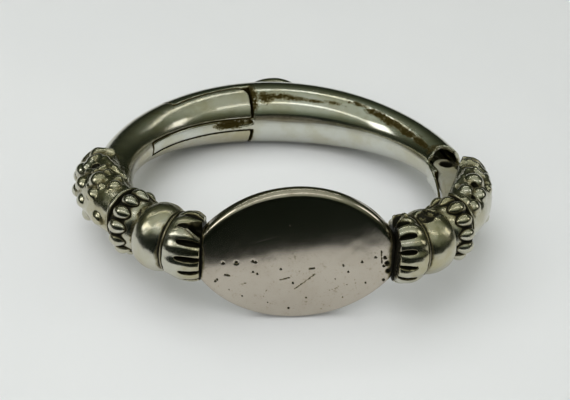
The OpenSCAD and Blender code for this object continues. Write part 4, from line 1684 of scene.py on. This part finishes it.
@dataclass(frozen=True)
class Lamp:
    """A soft rectangular lamp."""

    name: str
    place: tuple[float, float, float]
    target: tuple[float, float, float]
    size: tuple[float, float]
    power: float
    colour: tuple[float, float, float] = (1.0, 1.0, 1.0)
    mirrored: bool = True

    def build(self) -> None:
        """Hangs the lamp and turns it to its target."""
        data = bpy.data.lights.new(self.name, "AREA")
        data.shape = "RECTANGLE"
        data.size, data.size_y = self.size
        data.energy, data.color = self.power, self.colour
        lamp = linked(self.name, data)
        lamp.location = self.place
        lamp.rotation_euler = (Vector(self.target) - Vector(self.place)).to_track_quat("-Z", "Y").to_euler()
        lamp.visible_camera, lamp.visible_glossy = False, self.mirrored


@dataclass
class Studio:
    """Floor, lamps, sky and the dark card that the plaque mirrors."""

    lamps: tuple[Lamp, ...] = (
        Lamp("back_tube", (-0.05, 0.40, 0.62), (0, 0, 0.01), (1.1, 0.022), 0.42, (1.0, 0.99, 0.97)),
        Lamp("front_tube", (0.0, -0.27, 0.63), (0, 0, 0.01), (1.0, 0.02), 0.30, (1.0, 0.99, 0.97)),
        Lamp("left_window", (-0.42, -0.10, 0.34), (0, 0, 0.01), (0.16, 0.20), 0.24, (1.0, 0.985, 0.95)),
        Lamp("right_window", (0.50, -0.03, 0.30), (0, 0, 0.01), (0.14, 0.2), 0.16, (1.0, 0.99, 0.96)),
        Lamp("fill", (-0.40, 0.10, 1.2), (0, 0, 0.01), (1.2, 1.2), 5.6, (0.98, 0.99, 1.0), False),
        Lamp("front_fill", (-0.30, -0.95, 0.95), (0, 0, 0.01), (1.2, 1.2), 9.8, (0.98, 0.99, 1.0), False),
    )
    # The card's line on the floor, from left to right, and its foot and top
    card_line: tuple = ((-0.20, -0.067), (-0.08, -0.063), (-0.014, -0.0578), (0.030, -0.0738), (0.10, -0.100),
                        (0.20, -0.122))
    card_heights: tuple[float, float] = (0.0005, 0.045)
    # The room's grey-green by height, from straight below to straight above
    room: tuple = ((0.46, (0.20, 0.19, 0.17, 1)), (0.50, (0.013, 0.016, 0.009, 1)),
                   (0.60, (0.022, 0.027, 0.016, 1)), (0.70, (0.056, 0.064, 0.037, 1)),
                   (0.82, (0.18, 0.205, 0.145, 1)),
                   (0.93, (0.47, 0.505, 0.42, 1)), (1.0, (0.50, 0.53, 0.465, 1)))
    front_bias: float = 0.16

    def sky(self) -> None:
        """Grey-green round the horizon, paler overhead."""
        world = bpy.data.worlds.new("room")
        bpy.context.scene.world = world
        world.use_nodes = True
        t = Maker(world.node_tree)
        parts = t.node("ShaderNodeSeparateXYZ", {0: t.node("ShaderNodeTexCoord").outputs["Generated"]})
        # The room is paler in front than behind
        depth, up = (Number(t, parts.outputs[i]) for i in (1, 2))
        height = up * 0.5 + 0.5 - t.math("MAXIMUM", up, 0.0) * depth * self.front_bias
        ramp = t.node("ShaderNodeValToRGB", {0: height})
        stops = ramp.color_ramp.elements
        stops[0].position, stops[1].position = self.room[0][0], self.room[-1][0]
        for place, _ in self.room[1:-1]:
            stops.new(place)
        for stop, (_, colour) in zip(stops, self.room):
            stop.color = colour
        t.feed(world.node_tree.nodes["Background"], {"Color": ramp.outputs[0], "Strength": 1.0})

    def floor(self) -> None:
        """A plain pale surface with a slight unevenness of tone."""
        bpy.ops.mesh.primitive_plane_add(size=4.0, location=(0, 0, 0))
        floor = bpy.context.active_object
        floor.name = "pale_surface"
        made, t, shader = new_material("pale_surface")
        at = t.node("ShaderNodeTexCoord").outputs["Object"]
        tone = t.blend(t.noise(at, 9.0, 3.0, 0.6), (0.72, 0.722, 0.755, 1), (0.795, 0.795, 0.815, 1))
        t.feed(shader, {"Base Color": tone, "Roughness": 0.55 + t.noise(at, 60.0, 3.0) * 0.15,
                        "Specular IOR Level": 0.3})
        floor.data.materials.append(made)

    def card(self) -> None:
        """A dark green-grey card before the plaque that only reflections see."""
        n = len(self.card_line)
        mesh = bpy.data.meshes.new("dark_card")
        mesh.from_pydata([(x, y, z) for z in self.card_heights for x, y in self.card_line], [],
                         [(i, i + 1, n + i + 1, n + i) for i in range(n - 1)])
        card = linked("dark_card", mesh)
        made, t, shader = new_material("dark_card")
        tone = t.noise(t.node("ShaderNodeTexCoord").outputs["Object"], 14.0, 2.0)
        t.feed(shader, {"Base Color": t.blend(tone, (0.013, 0.020, 0.014, 1), (0.024, 0.031, 0.022, 1)),
                        "Roughness": 1.0, "Specular IOR Level": 0.0})
        mesh.materials.append(made)
        card.visible_camera = card.visible_diffuse = card.visible_shadow = False

    def build(self) -> None:
        """Sets up the whole studio."""
        self.sky()
        self.floor()
        self.card()
        for lamp in self.lamps:
            lamp.build()
        bpy.context.scene.view_settings.view_transform = "Standard"


@dataclass
class Bracelet:
    """The whole bracelet: builds each sub-assembly, dresses it and ties it to its body."""

    finishes: dict[Slot, bpy.types.Material] = field(default_factory=all_finishes)
    trees: Trees = field(default_factory=Trees)
    pieces: list = field(default_factory=list)

    def add(self, piece: bpy.types.Object, node: str, body: Body, slot: Slot) -> None:
        """Hides the node that a piece stands for and ties the piece to its body."""
        for name in MARKS:
            if piece.data.attributes.get(name) is None:
                note(piece, name, np.zeros(len(piece.data.vertices)))
        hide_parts(node)
        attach(piece, body.value)
        self.pieces.append(piece)
        LOG.info("%s stands for %s: %d vertices", piece.name, node, len(piece.data.vertices))

    def build(self) -> None:
        """Builds every piece in order, from the plaque to the back."""
        f = self.finishes
        self.add(Plaque().build(f[Slot.PLAQUE]), "plaque", Body.FRONT, Slot.PLAQUE)
        for collar in collars():
            self.add(collar.build(self.trees, f[collar.slot]), collar.node, Body.FRONT, collar.slot)
        for side in Side:
            self.add(Shank(side).build(f[Slot.SHANK]), f"{side.name.lower()}_shank", Body.FRONT, Slot.SHANK)
        self.add(Arm().build(f[Slot.ARM]), "rear_arm", Body.ARM, Slot.ARM)
        self.add(Rosette().build(self.trees, f[Slot.ARM]), "rosette", Body.ARM, Slot.ARM)
        self.add(Pin().build(self.trees, f[Slot.DARK]), "hinge_pin", Body.ARM, Slot.DARK)
        Crevices(rays=12).mark(self.pieces)


def main() -> None:
    """Builds the bracelet, the studio and the camera."""
    logging.basicConfig(level=logging.INFO, format="%(name)s: %(message)s")
    Bracelet().build()
    Studio().build()
    CameraFit().build()


if __name__ == "__main__":
    main()
